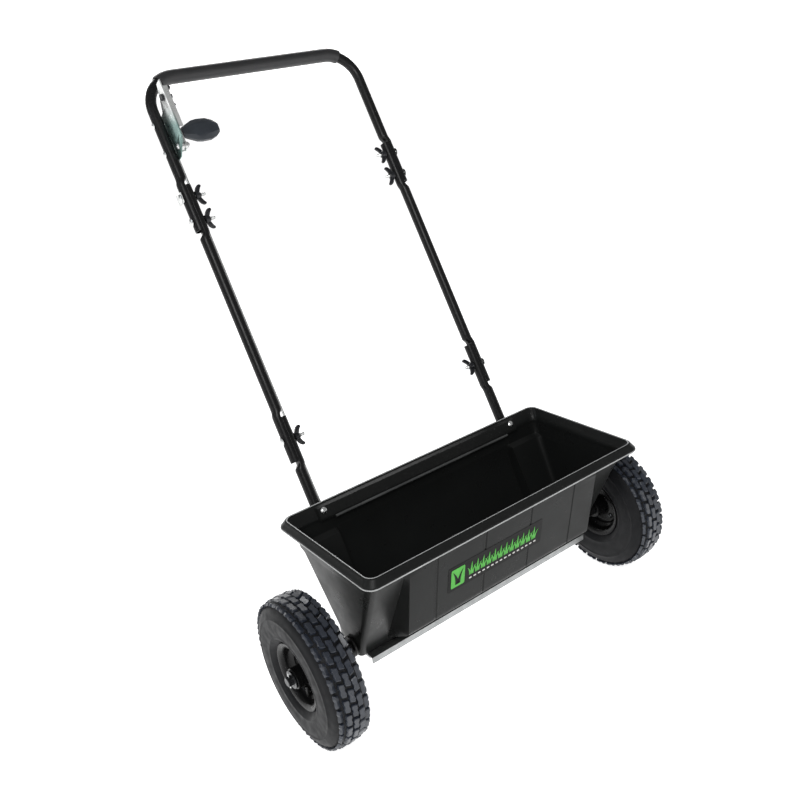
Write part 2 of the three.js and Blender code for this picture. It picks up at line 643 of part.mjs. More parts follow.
function makeHandleBar() {
  const leg = (side, height, flat) => ({ at: v3(side * HANDLE_HALF, 0, height), out: v3(side, 0, 0), flat });
  const legSpans = [[SPLICE_START, 1], [SPLICE_END + 2, 1], [SPLICE_END + 14, 0]];
  const left = legSpans.map(([height, flat]) => leg(-1, height, flat));
  const right = legSpans.map(([height, flat]) => leg(1, height, flat)).reverse();
  const bar = toSolid(tube([...left, ...crossbarStations(6), ...right]));
  const spliceHoles = [-1, 1].flatMap((side) => SPLICE_BOLTS.map((height) => (
    drillX(side * (HANDLE_HALF - 15), side * (HANDLE_HALF + 15), 0, height))));
  const gaugeHoles = GAUGE_BOLTS.map((height) => (
    drillX(-HANDLE_HALF - 15, -HANDLE_HALF + 15, 0, height, 2.5 + GAP)));
  return cut(bar, ...spliceHoles, ...gaugeHoles);
}

place(handleFrame, 'handle_bar', fromSolid(makeHandleBar()), 'powder_coat');

const gripStations = crossbarStations(2, Math.PI / 3);
const grip = tube(gripStations, { outer: GRIP_R, wall: GRIP_R - TUBE_R - GAP });
place(handleFrame, 'hand_grip', closed(grip), 'grip_vinyl');

// ---------- handle fasteners ----------
const headGap = { plain: GAP, guided: 2.2 };

function boltPair(name, side, height, wingTurn, seat = headGap.plain) {
  const bolt = place(handleFrame, `${name}_bolt`, boltGeometry(44 + seat), 'zinc');
  bolt.position.set(side * (HANDLE_HALF + FLAT_DEPTH + seat), 0, height);
  const nut = place(handleFrame, `${name}_wing_nut`, wingNutGeometry(), 'knob_plastic');
  nut.position.set(side * (HANDLE_HALF - FLAT_DEPTH - GAP), 0, height);
  if (side < 0) bolt.rotation.z = Math.PI;
  nut.rotation.set(THREE.MathUtils.degToRad(wingTurn), 0, side > 0 ? Math.PI : 0);
}

boltPair('fold_left', -1, FOLD_BOLT, 12);
boltPair('fold_right', 1, FOLD_BOLT, -18);
boltPair('splice_low_left', -1, SPLICE_BOLTS[0], 18);
boltPair('splice_low_right', 1, SPLICE_BOLTS[0], 8);
boltPair('splice_top_left', -1, SPLICE_BOLTS[1], 6, headGap.guided);
boltPair('splice_top_right', 1, SPLICE_BOLTS[1], -10);

for (const [name, side] of Object.entries(SIDES)) {
  const screw = boltGeometry(25, 6, 3.2, 2.5);
  screw.rotateZ(-Math.PI / 2);
  const seat = v3(side * HANDLE_HALF, BAND_FACE - GAP, HOPPER_SCREW);
  place(handleFrame, `hopper_screw_${name}`, screw, 'zinc', seat);
}

// ---------- stand ----------
const STAND_R = 6;
const STAND_TOP_X = HANDLE_HALF + TUBE_R + STAND_R + 2.5;
const STAND_FOOT_X = 186;
const STAND_Y = 168;

function makeStand() {
  const top = v3(0, 0, TUBE_FOOT + 14).applyMatrix4(handleFrame.matrix);
  const foot = v3(0, STAND_Y, STAND_R);
  const down = foot.clone().sub(top).normalize();
  const out = v3(1, 0, 0);
  const rows = [];
  const bend = 26;
  const section = (at, lateral) => {
    const normal = v3(1, 0, 0).cross(down).normalize();
    const count = 10;
    return Array.from({ length: count }, (_, k) => {
      const angle = (2 * Math.PI * k) / count;
      return at.clone()
        .addScaledVector(lateral, STAND_R * Math.cos(angle))
        .addScaledVector(normal, STAND_R * Math.sin(angle));
    });
  };
  const upper = (side, along) => section(
    top.clone().addScaledVector(down, along).addScaledVector(out, side * STAND_TOP_X),
    v3(side, 0, 0),
  );
  rows.push(upper(-1, -9), upper(-1, 26));
  for (const side of [-1, 1]) {
    for (let k = 0; k <= 5; k += 1) {
      const share = side < 0 ? k / 5 : 1 - k / 5;
      const angle = (share * Math.PI) / 2;
      const lateral = out.clone().multiplyScalar(side * Math.cos(angle));
      lateral.addScaledVector(down, Math.sin(angle));
      const at = foot.clone()
        .addScaledVector(out, side * (STAND_FOOT_X - bend))
        .addScaledVector(down, -bend)
        .addScaledVector(lateral, bend);
      rows.push(section(at, lateral));
    }
  }
  rows.push(upper(1, 26), upper(1, -9));
  const reach = STAND_TOP_X + 2 * STAND_R;
  const boltHole = rod(v3(-reach, top.y, top.z), v3(reach, top.y, top.z), 3 + GAP, 12);
  return cut(toSolid(fromRows(rows, true)), boltHole);
}

handleFrame.updateMatrix();
place(spreader, 'stand', fromSolid(makeStand()), 'powder_coat');

for (const [name, side] of Object.entries(SIDES)) {
  const bolt = place(handleFrame, `stand_bolt_${name}`, boltGeometry(34), 'zinc');
  bolt.position.set(side * (STAND_TOP_X + STAND_R + GAP), 0, TUBE_FOOT + 14);
  if (side < 0) bolt.rotation.z = Math.PI;
}

// ---------- rate gauge, lever, rod and guide ----------
const PLATE_X = -HANDLE_HALF + TUBE_R + GAP;
const PLATE_SHEET = 2;
const LEVER_STANDOFF = 7; // the spacer between gauge plate and lever
const LEVER_X = PLATE_X + PLATE_SHEET + LEVER_STANDOFF + 2 * GAP;
const LEVER_SHEET = 3;
const PIVOT = { y: -20, z: 634 };
const STOP_R = 82; // the rate stop's distance from the lever's pivot
const STOP_ANGLE = THREE.MathUtils.degToRad(12.4);
const STOP_SLOT = [-6.4, 3.9].map(THREE.MathUtils.degToRad); // the slot's ends, either side of the stop
const LEVER_ANGLE = THREE.MathUtils.degToRad(-2);
const ROD_ARM_ANGLE = THREE.MathUtils.degToRad(16);
const FLANGE_Y = -50;

const aroundPivot = (radius, angle) => [
  PIVOT.y - radius * Math.sin(angle),
  PIVOT.z + radius * Math.cos(angle),
];

function stopSlot(x0, x1) {
  const points = [];
  const steps = 4;
  for (const [radius, forward] of [[STOP_R - 3, true], [STOP_R + 3, false]]) {
    for (let k = 0; k <= steps; k += 1) {
      const share = forward ? k / steps : 1 - k / steps;
      const angle = STOP_ANGLE + STOP_SLOT[0] + (STOP_SLOT[1] - STOP_SLOT[0]) * share;
      points.push(aroundPivot(radius, angle));
    }
  }
  return plateYZ(points, x0, x1);
}

function makeGaugePlate() {
  const outline = [
    [10, 618], [-14, 618], [FLANGE_Y, 640], [FLANGE_Y, 740], [-34, 740], [-12, 700], [10, 696],
  ];
  const plate = plateYZ(outline, PLATE_X, PLATE_X + PLATE_SHEET);
  const flange = box([PLATE_X, PLATE_X + 10], [FLANGE_Y, FLANGE_Y + 2], [655, 728]);
  const through = [PLATE_X - 1, PLATE_X + PLATE_SHEET + 1];
  const boltHoles = GAUGE_BOLTS.map((z) => drillX(...through, 0, z, 2.5 + GAP));
  const pivotHole = drillX(...through, PIVOT.y, PIVOT.z);
  return cut(join(plate, flange), ...boltHoles, pivotHole, stopSlot(...through));
}

place(handleFrame, 'gauge_plate', fromSolid(makeGaugePlate()), 'zinc');

GAUGE_BOLTS.forEach((height, k) => {
  const bolt = place(handleFrame, `gauge_bolt_${k + 1}`, boltGeometry(24, 5.5, 3, 2.5), 'zinc');
  bolt.position.set(-HANDLE_HALF - TUBE_R - GAP, 0, height);
  bolt.rotation.z = Math.PI;
});

const pivotBolt = place(handleFrame, 'lever_pivot_bolt', boltGeometry(21, 5.5, 3, 3), 'zinc');
pivotBolt.position.set(PLATE_X - GAP, PIVOT.y, PIVOT.z);
pivotBolt.rotation.z = Math.PI;
const standoff = ring(3 + GAP, 7, 0, LEVER_STANDOFF, 12);
place(handleFrame, 'lever_standoff', standoff, 'zinc', v3(PLATE_X + PLATE_SHEET + GAP, PIVOT.y, PIVOT.z));
const pivotNutX = LEVER_X + LEVER_SHEET + GAP;
const pivotNutSpot = v3(pivotNutX, PIVOT.y, PIVOT.z);
place(handleFrame, 'lever_pivot_nut', hexNutGeometry(10, 5, 3 + GAP), 'zinc', pivotNutSpot);

function makeRateStop() {
  const [y, z] = aroundPivot(STOP_R, STOP_ANGLE);
  const inner = PLATE_X + PLATE_SHEET + GAP;
  const head = rod(v3(PLATE_X - GAP - 3, y, z), v3(PLATE_X - GAP, y, z), 5.5, 12);
  const shank = rod(v3(PLATE_X - GAP - 1, y, z), v3(inner + 2, y, z), 2.5, 12);
  const knob = wingNutGeometry();
  knob.rotateX(0.2);
  knob.translate(inner, y, z);
  const filling = rod(v3(inner, y, z), v3(inner + 14, y, z), 4, 12);
  return join(head, shank, toSolid(knob), filling);
}

place(handleFrame, 'rate_stop', fromSolid(makeRateStop()), 'knob_plastic');

const TAB = { y: [-18, -14], z: [651, 665], reach: 52 };

function makeLever() {
  const x = [LEVER_X, LEVER_X + LEVER_SHEET];
  const side = (half, radius, angle) => {
    const [y, z] = aroundPivot(radius, angle);
    return [[y - half, z], [y + half, z]];
  };
  const [tipFront, tipBack] = side(4, 79, LEVER_ANGLE);
  const [neckFront, neckBack] = side(8, 30, LEVER_ANGLE);
  const root = [[PIVOT.y + 9, PIVOT.z], [PIVOT.y - 9, PIVOT.z]];
  const handArm = plateYZ([...root, neckFront, tipFront, tipBack, neckBack], ...x);
  const rodEye = [ROD_Y, PIVOT.z + (ROD_Y - PIVOT.y) * Math.tan(ROD_ARM_ANGLE)];
  const rodArm = plateYZ([
    [PIVOT.y, PIVOT.z - 9], [rodEye[0] + 6, rodEye[1] - 7],
    [rodEye[0] + 8, rodEye[1] + 6], [PIVOT.y, PIVOT.z + 9],
  ], ...x);
  const boss = rod(v3(x[0], PIVOT.y, PIVOT.z), v3(x[1], PIVOT.y, PIVOT.z), 10);
  const tab = box([x[0], x[0] + TAB.reach], TAB.y, TAB.z);
  const pinHole = drillX(x[0] - 1, x[1] + 1, PIVOT.y, PIVOT.z);
  const eyeY = [rodEye[0] - 4.5, rodEye[0] + 4.5];
  const eye = box([x[0] - 1, x[1] + 1], eyeY, [rodEye[1] - 3.1, rodEye[1] + 3.1]);
  return cut(join(handArm, rodArm, boss, tab), pinHole, eye);
}

place(handleFrame, 'control_lever', fromSolid(makeLever()), 'zinc');

// The grip is an eight-sided paddle that widens from its root and is blunt at its end.
function makeLeverGrip() {
  const rootX = PLATE_X + 17;
  const centreY = (TAB.y[0] + TAB.y[1]) / 2;
  const centreZ = (TAB.z[0] + TAB.z[1]) / 2;
  const stations = [
    [0, 7.5, 5.5], [6, 11, 6.5], [22, 18, 8], [32, 19.5, 8], [48, 19, 8], [60, 14.5, 7], [67, 8.5, 5],
  ];
  const rows = stations.map(([along, halfWide, halfThick]) => {
    const drop = -0.03 * along;
    const quarter = [[0.55, 1], [1, 0.45]];
    const corners = [
      ...quarter, ...quarter.map(([a, b]) => [a, -b]).reverse(),
      ...quarter.map(([a, b]) => [-a, -b]), ...quarter.map(([a, b]) => [-a, b]).reverse(),
    ];
    return corners.map(([wide, thick]) => (
      v3(rootX + along, centreY + thick * halfThick, centreZ + drop + wide * halfWide)));
  });
  const pocketX = [rootX - 1, LEVER_X + TAB.reach + 1];
  const pocket = box(
    pocketX,
    [TAB.y[0] - GAP, TAB.y[1] + GAP],
    [TAB.z[0] - GAP, TAB.z[1] + GAP],
  );
  return cut(toSolid(fromRows(rows, true)), pocket);
}

place(handleFrame, 'lever_grip', fromSolid(makeLeverGrip()), 'knob_plastic');

// The control rod runs behind the left tube, with a hook at each end.
function makeControlRod() {
  const topZ = PIVOT.z + (ROD_Y - PIVOT.y) * Math.tan(ROD_ARM_ANGLE);
  const inFrame = handleFrame.matrix.clone().invert();
  const crankEye = v3(ROD_X, CRANK_Y, CRANK_Z).applyMatrix4(inFrame);
  const rearwards = v3(0, 1, 0).transformDirection(inFrame);
  const foot = v3(ROD_X, ROD_Y, crankEye.z + (ROD_Y - crankEye.y) * (rearwards.z / rearwards.y));
  const shaft = rod(foot.clone().addScaledVector(v3(0, 0, 1), -1), v3(ROD_X, ROD_Y, topZ), ROD_R, 10);
  const topHook = rod(v3(ROD_X, ROD_Y, topZ), v3(LEVER_X + 9, ROD_Y, topZ), ROD_R, 10);
  const topKnuckle = rod(v3(ROD_X - ROD_R, ROD_Y, topZ), v3(ROD_X, ROD_Y, topZ), ROD_R, 10);
  const hookStart = foot.clone().addScaledVector(rearwards, -2);
  const footHook = rod(hookStart, foot.clone().addScaledVector(rearwards, 24), ROD_R, 10);
  return join(shaft, topHook, topKnuckle, footHook);
}

place(handleFrame, 'control_rod', fromSolid(makeControlRod()), 'axle_steel');

function makeRodGuide() {
  const seat = -HANDLE_HALF - FLAT_DEPTH - GAP;
  const height = SPLICE_BOLTS[1];
  const sideView = [[-8, height - 9], [18, height - 9], [18, height + 13], [-8, height + 9]];
  const strap = plateYZ(sideView, seat - 1.6, seat);
  const shelf = box([seat - 1.6, ROD_X + 7], [11, 19.5], [height + 6, height + 7.6]);
  const rodHole = rod(v3(ROD_X, ROD_Y, height), v3(ROD_X, ROD_Y, height + 12), ROD_R + 0.6, 12);
  const boltHole = drillX(seat - 3, seat + 1, 0, height);
  return cut(join(strap, shelf), rodHole, boltHole);
}

place(handleFrame, 'rod_guide', fromSolid(makeRodGuide()), 'zinc');

// ---------- origin: the middle of the footprint, on the ground ----------
spreader.updateMatrixWorld(true);
const extent = new THREE.Box3().setFromObject(spreader, true);
spreader.position.y = -(extent.min.y + extent.max.y) / 2;
spreader.updateMatrixWorld(true);

export default spreader;
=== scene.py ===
import math
import bmesh
import bpy
import numpy as np
from mathutils import Matrix, Vector


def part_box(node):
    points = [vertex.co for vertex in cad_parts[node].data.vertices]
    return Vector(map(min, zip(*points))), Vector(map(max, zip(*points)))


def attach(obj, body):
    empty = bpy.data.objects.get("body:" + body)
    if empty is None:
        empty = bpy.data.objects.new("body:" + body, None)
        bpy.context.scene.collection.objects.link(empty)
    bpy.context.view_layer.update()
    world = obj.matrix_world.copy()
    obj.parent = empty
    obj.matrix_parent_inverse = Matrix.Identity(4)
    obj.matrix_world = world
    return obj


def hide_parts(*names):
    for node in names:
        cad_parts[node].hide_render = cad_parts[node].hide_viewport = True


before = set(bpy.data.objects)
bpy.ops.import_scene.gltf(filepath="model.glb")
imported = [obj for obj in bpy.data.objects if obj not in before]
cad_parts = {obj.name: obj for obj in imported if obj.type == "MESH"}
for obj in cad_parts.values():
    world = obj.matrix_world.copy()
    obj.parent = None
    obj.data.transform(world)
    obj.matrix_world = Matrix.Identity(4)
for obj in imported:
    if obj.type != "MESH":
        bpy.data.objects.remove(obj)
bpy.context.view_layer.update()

# Sizes are millimetres, measured from the ground under the axle: X along the axle,
# Y rearwards, Z up. machine() turns them into the frame's metres.
MM = 0.001
AXLE_LOW, AXLE_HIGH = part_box("axle")
AXLE_Y = (AXLE_LOW.y + AXLE_HIGH.y) / 2 / MM
AXLE_Z = 127.0

LEAN = math.radians(27.7)  # the handle leans back this far
HANDLE_Y = 143.0
RIM_TOP = 324.0
HANDLE_HALF = 213.0
TUBE_R = 9.5
TUBE_WALL = 1.6
CROSSBAR = 766.0
CORNER_R = 57.0
FOLD_BOLT = 108.0
SPLICE_BOLTS = (508.0, 552.0)
FLAT_SHIFT = 2.5
FLAT_DEPTH = FLAT_SHIFT + TUBE_R
STAND_TOP = -162  # the stand's bolts and the hopper's screws, along the tubes
HOPPER_SCREW = -24.0
WHEEL_X = 340.5
HUB_HALF = 33.0
SIDES = {"left": -1, "right": 1}


def machine(points):
    return (np.asarray(points, float).reshape(-1, 3) + (0, AXLE_Y, 0)) * MM


def on_handle(points):
    """Points in the handle's own frame (Z up the tubes, Y behind them) in the machine's."""
    x, y, z = np.asarray(points, float).reshape(-1, 3).T
    cos, sin = math.cos(LEAN), math.sin(LEAN)
    return np.stack([x, HANDLE_Y + cos * y + sin * z, RIM_TOP - sin * y + cos * z], 1)


# ---------- finishes ----------


def finish(name, dark, light, rough, patch=18.0, grain=900.0, bump=0.08, depth=0.00006,
           metallic=0.0, coat=0.0, stretch=(1, 1, 1), specular=0.5):
    """A procedural finish: mottled colour, uneven gloss and a fine surface grain."""
    made = bpy.data.materials.new(name)
    made.use_nodes = True
    nodes, links = made.node_tree.nodes, made.node_tree.links
    shader = nodes["Principled BSDF"]
    shader.inputs["Metallic"].default_value = metallic
    shader.inputs["Coat Weight"].default_value = coat
    shader.inputs["Coat Roughness"].default_value = 0.12
    shader.inputs["Specular IOR Level"].default_value = specular
    coords = nodes.new("ShaderNodeTexCoord")
    mapping = nodes.new("ShaderNodeMapping")
    mapping.inputs["Scale"].default_value = stretch
    links.new(coords.outputs["Object"], mapping.inputs["Vector"])

    def noise(scale, detail, vector):
        node = nodes.new("ShaderNodeTexNoise")
        node.inputs["Scale"].default_value = scale
        node.inputs["Detail"].default_value = detail
        links.new(vector, node.inputs["Vector"])
        return node.outputs["Fac"]

    mottle = noise(patch, 5.0, coords.outputs["Object"])
    mix = nodes.new("ShaderNodeMix")
    mix.data_type = "RGBA"
    mix.inputs["A"].default_value = (*dark, 1)
    mix.inputs["B"].default_value = (*light, 1)
    links.new(mottle, mix.inputs["Factor"])
    links.new(mix.outputs["Result"], shader.inputs["Base Color"])
    gloss = nodes.new("ShaderNodeMapRange")
    gloss.inputs["From Min"].default_value = 0.3
    gloss.inputs["From Max"].default_value = 0.7
    gloss.inputs["To Min"].default_value = rough[0]
    gloss.inputs["To Max"].default_value = rough[1]
    links.new(noise(patch * 3.1, 6.0, mapping.outputs["Vector"]), gloss.inputs["Value"])
    links.new(gloss.outputs["Result"], shader.inputs["Roughness"])
    relief = nodes.new("ShaderNodeBump")
    relief.inputs["Strength"].default_value = bump
    relief.inputs["Distance"].default_value = depth
    links.new(noise(grain, 3.0, mapping.outputs["Vector"]), relief.inputs["Height"])
    links.new(relief.outputs["Normal"], shader.inputs["Normal"])
    return made


FINISHES = {
    "moulding": finish("moulded_polypropylene", (0.0085, 0.009, 0.0088), (0.014, 0.0148, 0.0144),
                       (0.25, 0.38), patch=9, grain=1400, bump=0.25, depth=0.00005, specular=0.13),
    # Light grey base colour that paints a highlight along the rim's top edge and outer bead.
    "painted_highlight_edge": finish("moulding_edge_painted_highlight", (0.16, 0.165, 0.165), (0.6, 0.61, 0.61), (0.2, 0.34),
                            patch=22, grain=1400, bump=0.2, depth=0.00005, specular=0.6),
    # Dark base colour mottled up to a pale grey: a painted, uneven highlight along the lower edge of the rear
    # band.
    "painted_highlight_lip": finish("moulding_lip_painted_highlight", (0.004, 0.004, 0.004), (0.13, 0.135, 0.135), (0.18, 0.3),
                         patch=13, grain=1400, bump=0.2, depth=0.00005, specular=0.5),
    "lever_plastic": finish("faceted_lever_plastic", (0.012, 0.015, 0.02), (0.032, 0.038, 0.047),
                            (0.3, 0.45), patch=60, grain=1800, bump=0.3, depth=0.00006, specular=0.4),
    "powder_coat": finish("black_powder_coat", (0.005, 0.005, 0.0052), (0.009, 0.009, 0.0093), (0.22, 0.34),
                          patch=30, grain=1700, bump=0.3, depth=0.00006, specular=0.2),
    "zinc": finish("bright_zinc_plate", (0.6, 0.61, 0.605), (0.84, 0.85, 0.84), (0.2, 0.38), patch=60,
                   grain=1500, bump=0.15, metallic=1.0, stretch=(0.25, 1, 1)),
    "passivated": finish("blue_passivated_zinc", (0.13, 0.24, 0.22), (0.3, 0.4, 0.38), (0.22, 0.42),
                         patch=45, grain=1500, bump=0.15, metallic=0.9),
    "galvanised": finish("galvanised_sheet", (0.26, 0.27, 0.27), (0.5, 0.51, 0.51), (0.3, 0.48), patch=80,
                         grain=1500, bump=0.15, metallic=1.0),
    "dark_steel": finish("oiled_dark_steel", (0.022, 0.023, 0.025), (0.06, 0.062, 0.066), (0.22, 0.36),
                         patch=60, grain=1500, bump=0.2, metallic=0.8),
    "tyre_rubber": finish("tyre_rubber", (0.005, 0.0052, 0.006), (0.011, 0.0115, 0.013), (0.42, 0.6),
                          patch=26, grain=1100, bump=0.4, depth=0.0001, specular=0.14),
    # Dark rubber mixed towards a lighter, bluish base colour: a painted sheen on the tread blocks.
    "tread_rubber": finish("sheen_painted_tread_rubber", (0.008, 0.0105, 0.016), (0.03, 0.037, 0.053),
                           (0.24, 0.4), patch=34, grain=1000, bump=0.4, depth=0.0001, specular=0.6),
    "rim_paint": finish("gloss_rim_paint", (0.0025, 0.0025, 0.0027), (0.0055, 0.0055, 0.0058), (0.22, 0.34),
                        patch=24, grain=1200, bump=0.2, specular=0.18),
    "grip_vinyl": finish("smooth_vinyl_grip", (0.006, 0.006, 0.0068), (0.014, 0.014, 0.0155), (0.4, 0.52),
                         patch=40, grain=2000, bump=0.3, depth=0.00008, specular=0.6),
    "knob_plastic": finish("ribbed_knob_plastic", (0.004, 0.0045, 0.006), (0.0095, 0.0105, 0.0135),
                           (0.26, 0.4), patch=60, grain=1800, bump=0.3, depth=0.00006, specular=0.4),
    "nylon": finish("black_nylon", (0.006, 0.006, 0.006), (0.013, 0.013, 0.013), (0.34, 0.5), patch=50,
                    grain=1300, bump=0.3, specular=0.34),
    "label_black": finish("label_film", (0.0012, 0.001, 0.001), (0.003, 0.0025, 0.0025), (0.3, 0.42),
                          patch=40, grain=600, bump=0.05, specular=0.12),
    "label_green": finish("label_green_ink", (0.055, 0.33, 0.035), (0.09, 0.47, 0.06), (0.28, 0.4),
                          patch=160, grain=600, bump=0.05, specular=0.25),
    "label_pale": finish("label_pale_ink", (0.5, 0.49, 0.47), (0.7, 0.69, 0.67), (0.28, 0.4), patch=160,
                         grain=600, bump=0.05, specular=0.25),
}


def paint_highlight_beyond(made, x, z):
    """Painted highlight: a bright silver base colour where a piece lies further along X than x metres, or
    above z metres.
    """
    nodes, links = made.node_tree.nodes, made.node_tree.links
    base = nodes["Principled BSDF"].inputs["Base Color"]
    coords = nodes.new("ShaderNodeTexCoord")
    split = nodes.new("ShaderNodeSeparateXYZ")
    links.new(coords.outputs["Object"], split.inputs["Vector"])
    either = nodes.new("ShaderNodeMath")
    either.operation = "MAXIMUM"
    for slot, axis, start, span in ((0, "X", x, 0.0015), (1, "Z", z, 0.03)):
        beyond = nodes.new("ShaderNodeMapRange")
        beyond.inputs["From Min"].default_value = start
        beyond.inputs["From Max"].default_value = start + span
        links.new(split.outputs[axis], beyond.inputs["Value"])
        links.new(beyond.outputs["Result"], either.inputs[slot])
    mix = nodes.new("ShaderNodeMix")
    mix.data_type = "RGBA"
    links.new(either.outputs["Value"], mix.inputs["Factor"])
    links.new(base.links[0].from_socket, mix.inputs["A"])
    mix.inputs["B"].default_value = (0.85, 0.86, 0.85, 1)
    links.new(mix.outputs["Result"], base)


# ---------- making and placing pieces ----------


def dress(piece, look, body, *nodes):
    piece.data.materials.clear()
    piece.data.materials.append(FINISHES[look])
    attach(piece, body)
    if nodes:
        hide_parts(*nodes)
    return piece


def add_object(name, mesh):
    piece = bpy.data.objects.new(name, mesh)
    bpy.context.scene.collection.objects.link(piece)
    return piece


def smooth(mesh, angle=32):
    mesh.polygons.foreach_set("use_smooth", [True] * len(mesh.polygons))
    mesh.set_sharp_from_angle(angle=math.radians(angle))
    mesh.update()


def outward(bm):
    bmesh.ops.remove_doubles(bm, verts=bm.verts, dist=2e-6)
    bmesh.ops.recalc_face_normals(bm, faces=bm.faces)


def build(name, shells, bevel=0.0, segments=2, angle=32):
    """One piece from closed shells, each (points in machine millimetres, faces)."""
    bm = bmesh.new()
    for points, faces in shells:
        verts = [bm.verts.new(co) for co in machine(points)]
        for face in faces:
            bm.faces.new([verts[i] for i in face])
    outward(bm)
    if bevel:
        soften(bm, bevel, segments)
    mesh = bpy.data.meshes.new(name)
    bm.to_mesh(mesh)
    bm.free()
    smooth(mesh, angle)
    return add_object(name, mesh)


def soften(bm, width, segments=2, sharp=28):
    bmesh.ops.dissolve_limit(bm, angle_limit=math.radians(1.0), verts=bm.verts, edges=bm.edges)
    edges = [e for e in bm.edges if len(e.link_faces) == 2 and e.calc_face_angle(0) > math.radians(sharp)]
    bmesh.ops.bevel(bm, geom=edges, offset=width * MM, offset_type="OFFSET", segments=segments,
                    profile=0.6, affect="EDGES", clamp_overlap=True)


def refined(node, look, body, width, segments=2):
    """A CAD node's own shape with its edges broken, as pressed or moulded parts have them."""
    bm = bmesh.new()
    bm.from_mesh(bpy.data.objects[node].data)
    bmesh.ops.remove_doubles(bm, verts=bm.verts, dist=2e-6)
    soften(bm, width, segments)
    mesh = bpy.data.meshes.new(node + "_piece")
    bm.to_mesh(mesh)
    bm.free()
    smooth(mesh)
    return dress(add_object(node + "_piece", mesh), look, body, node)


def rows(grid, wrap=True, caps=False):
    """Faces between rings of points; wrap joins the last ring to the first."""
    grid = np.asarray(grid, float)
    count, across = grid.shape[:2]
    faces = []
    for i in range(count if wrap else count - 1):
        j = (i + 1) % count
        for k in range(across):
            n = (k + 1) % across
            faces.append((i * across + k, i * across + n, j * across + n, j * across + k))
    if caps:
        faces.append(tuple(range(across))[::-1])
        faces.append(tuple((count - 1) * across + k for k in range(across)))
    return grid.reshape(-1, 3), faces


def turned(profile, centre, segments=48, closed=True):
    """A solid of revolution about X from a closed loop of (radius, x)."""
    angles = np.linspace(0, 2 * math.pi, segments, endpoint=False)
    grid = [[(centre[0] + x, centre[1] + r * math.cos(a), centre[2] + r * math.sin(a)) for a in angles]
            for r, x in profile]
    return rows(grid, wrap=closed, caps=not closed)


def rod(start, end, radius, sides=20, ends=0.4):
    """A round bar with slightly broken ends."""
    start, end = Vector(start), Vector(end)
    axis = (end - start).normalized()
    side = axis.orthogonal().normalized()
    other = axis.cross(side)
    length = (end - start).length
    grid = []
    for along, r in ((0, radius - ends), (ends, radius), (length - ends, radius), (length, radius - ends)):
        at = start + axis * along
        grid.append([at + side * r * math.cos(a) + other * r * math.sin(a)
                     for a in np.linspace(0, 2 * math.pi, sides, endpoint=False)])
    return rows(grid, wrap=False, caps=True)


def in_handle(shell):
    return on_handle(shell[0]), shell[1]


def carve(piece, shells):
    """Cut closed shells out of a piece."""
    cutter = build("cutter", shells)
    cut = piece.modifiers.new("cut", "BOOLEAN")
    cut.operation = "DIFFERENCE"
    cut.solver = "EXACT"
    cut.object = cutter
    bpy.context.view_layer.update()
    cut_mesh = bpy.data.meshes.new_from_object(piece.evaluated_get(bpy.context.evaluated_depsgraph_get()))
    piece.modifiers.clear()
    piece.data = cut_mesh
    bpy.data.objects.remove(cutter)
    smooth(piece.data)
    return piece


# ---------- hopper ----------
WALL = 3.2
WALL_FOOT, WALL_TOP = 112.0, 304.0
RIM_HALF_X, RIM_HALF_Y = 291.4, 133.4
FRONT_HALF, REAR_HALF = 205.0, 201.0
PANEL_END = 247  # where the long sides end and the corners begin
BAND_HALF = 224  # half the length of the thicker band inside the rear wall
STEP_FOOT, STEP_TOP = 272.8, 277.2  # the shelf that widens the rear wall near its top
GROOVES = (-150, -50, 50, 150)
CORNER_STEPS = 8


def rising(z, foot, top):
    return foot + (top - foot) * (z - WALL_FOOT) / (WALL_TOP - WALL_FOOT)


def softened(z, levels, depths):
    """A depth between levels, averaged over a few millimetres so that no crease is left."""
    spread = ((0.25, -2.5), (0.5, 0), (0.25, 2.5))
    return sum(share * np.interp(z + d, levels, depths) for share, d in spread)


def front_depth(z):
    """How far the front bulge stands from the axle plane, its floor turning softly into its face."""
    return softened(z, [112, 126, 160, 304, 324], [18, 28, 83, 113, 117.2])


def rear_depth(z):
    return softened(z, [112, 126, 160, 200, 250, 304, 324], [18, 28, 66, 86, 106, 113, 115.6])


def side_stations(half, extra):
    return sorted([s * v for s in (-1, 1) for v in (half + 4.5, half + 1.5, half - 1.2)] + extra)


def corner(centre_x, centre_y, r, first, z):
    angles = [math.radians(first + 90 * k / CORNER_STEPS) for k in range(CORNER_STEPS + 1)]
    return [(centre_x + r * math.cos(a), centre_y + r * math.sin(a), z) for a in angles]


def hopper_ring(half_x, half_y, r, z, front=None, rear=None, groove=0.0, inset=0.0, band=None):
    """One level of the hopper, anticlockwise from above."""
    ring = []
    grooves = [g + d for g in GROOVES for d in (-2.4, -1.1, 1.1, 2.4)]
    for x in [-PANEL_END] + side_stations(FRONT_HALF - inset, grooves) + [PANEL_END]:
        depth = half_y
        if front is not None:
            share = np.interp(abs(x), [FRONT_HALF - inset - 1.2, FRONT_HALF - inset + 4.5], [1, 0])
            depth += max(front - half_y, 0) * share
        if min(abs(x - g) for g in GROOVES) < 1.5:
            depth -= groove
        ring.append((x, -depth, z))
    back = half_y
    if rear is not None and z > STEP_FOOT:
        back = max(half_y, np.interp(z, [STEP_FOOT, STEP_TOP, WALL_TOP], [half_y, 108 - inset, 113 - inset]))
    ring += corner(half_x - r, r - half_y, r, -90, z) + corner(half_x - r, back - r, r, 0, z)
    band_ends = [s * (BAND_HALF + d) for s, d in ((-1, 2), (-1, -1), (1, -1), (1, 2))]
    for x in ([-PANEL_END] + side_stations(REAR_HALF - inset, band_ends) + [PANEL_END])[::-1]:
        depth = back
        if rear is not None:
            share = np.interp(abs(x), [REAR_HALF - inset - 1.2, REAR_HALF - inset + 1.2], [1, 0])
            depth += max(rear - back, 0) * share
        if band is not None and abs(x) < BAND_HALF:
            depth = band
        ring.append((x, depth, z))
    return ring + corner(r - half_x, back - r, r, 90, z) + corner(r - half_x, r - half_y, r, 180, z)


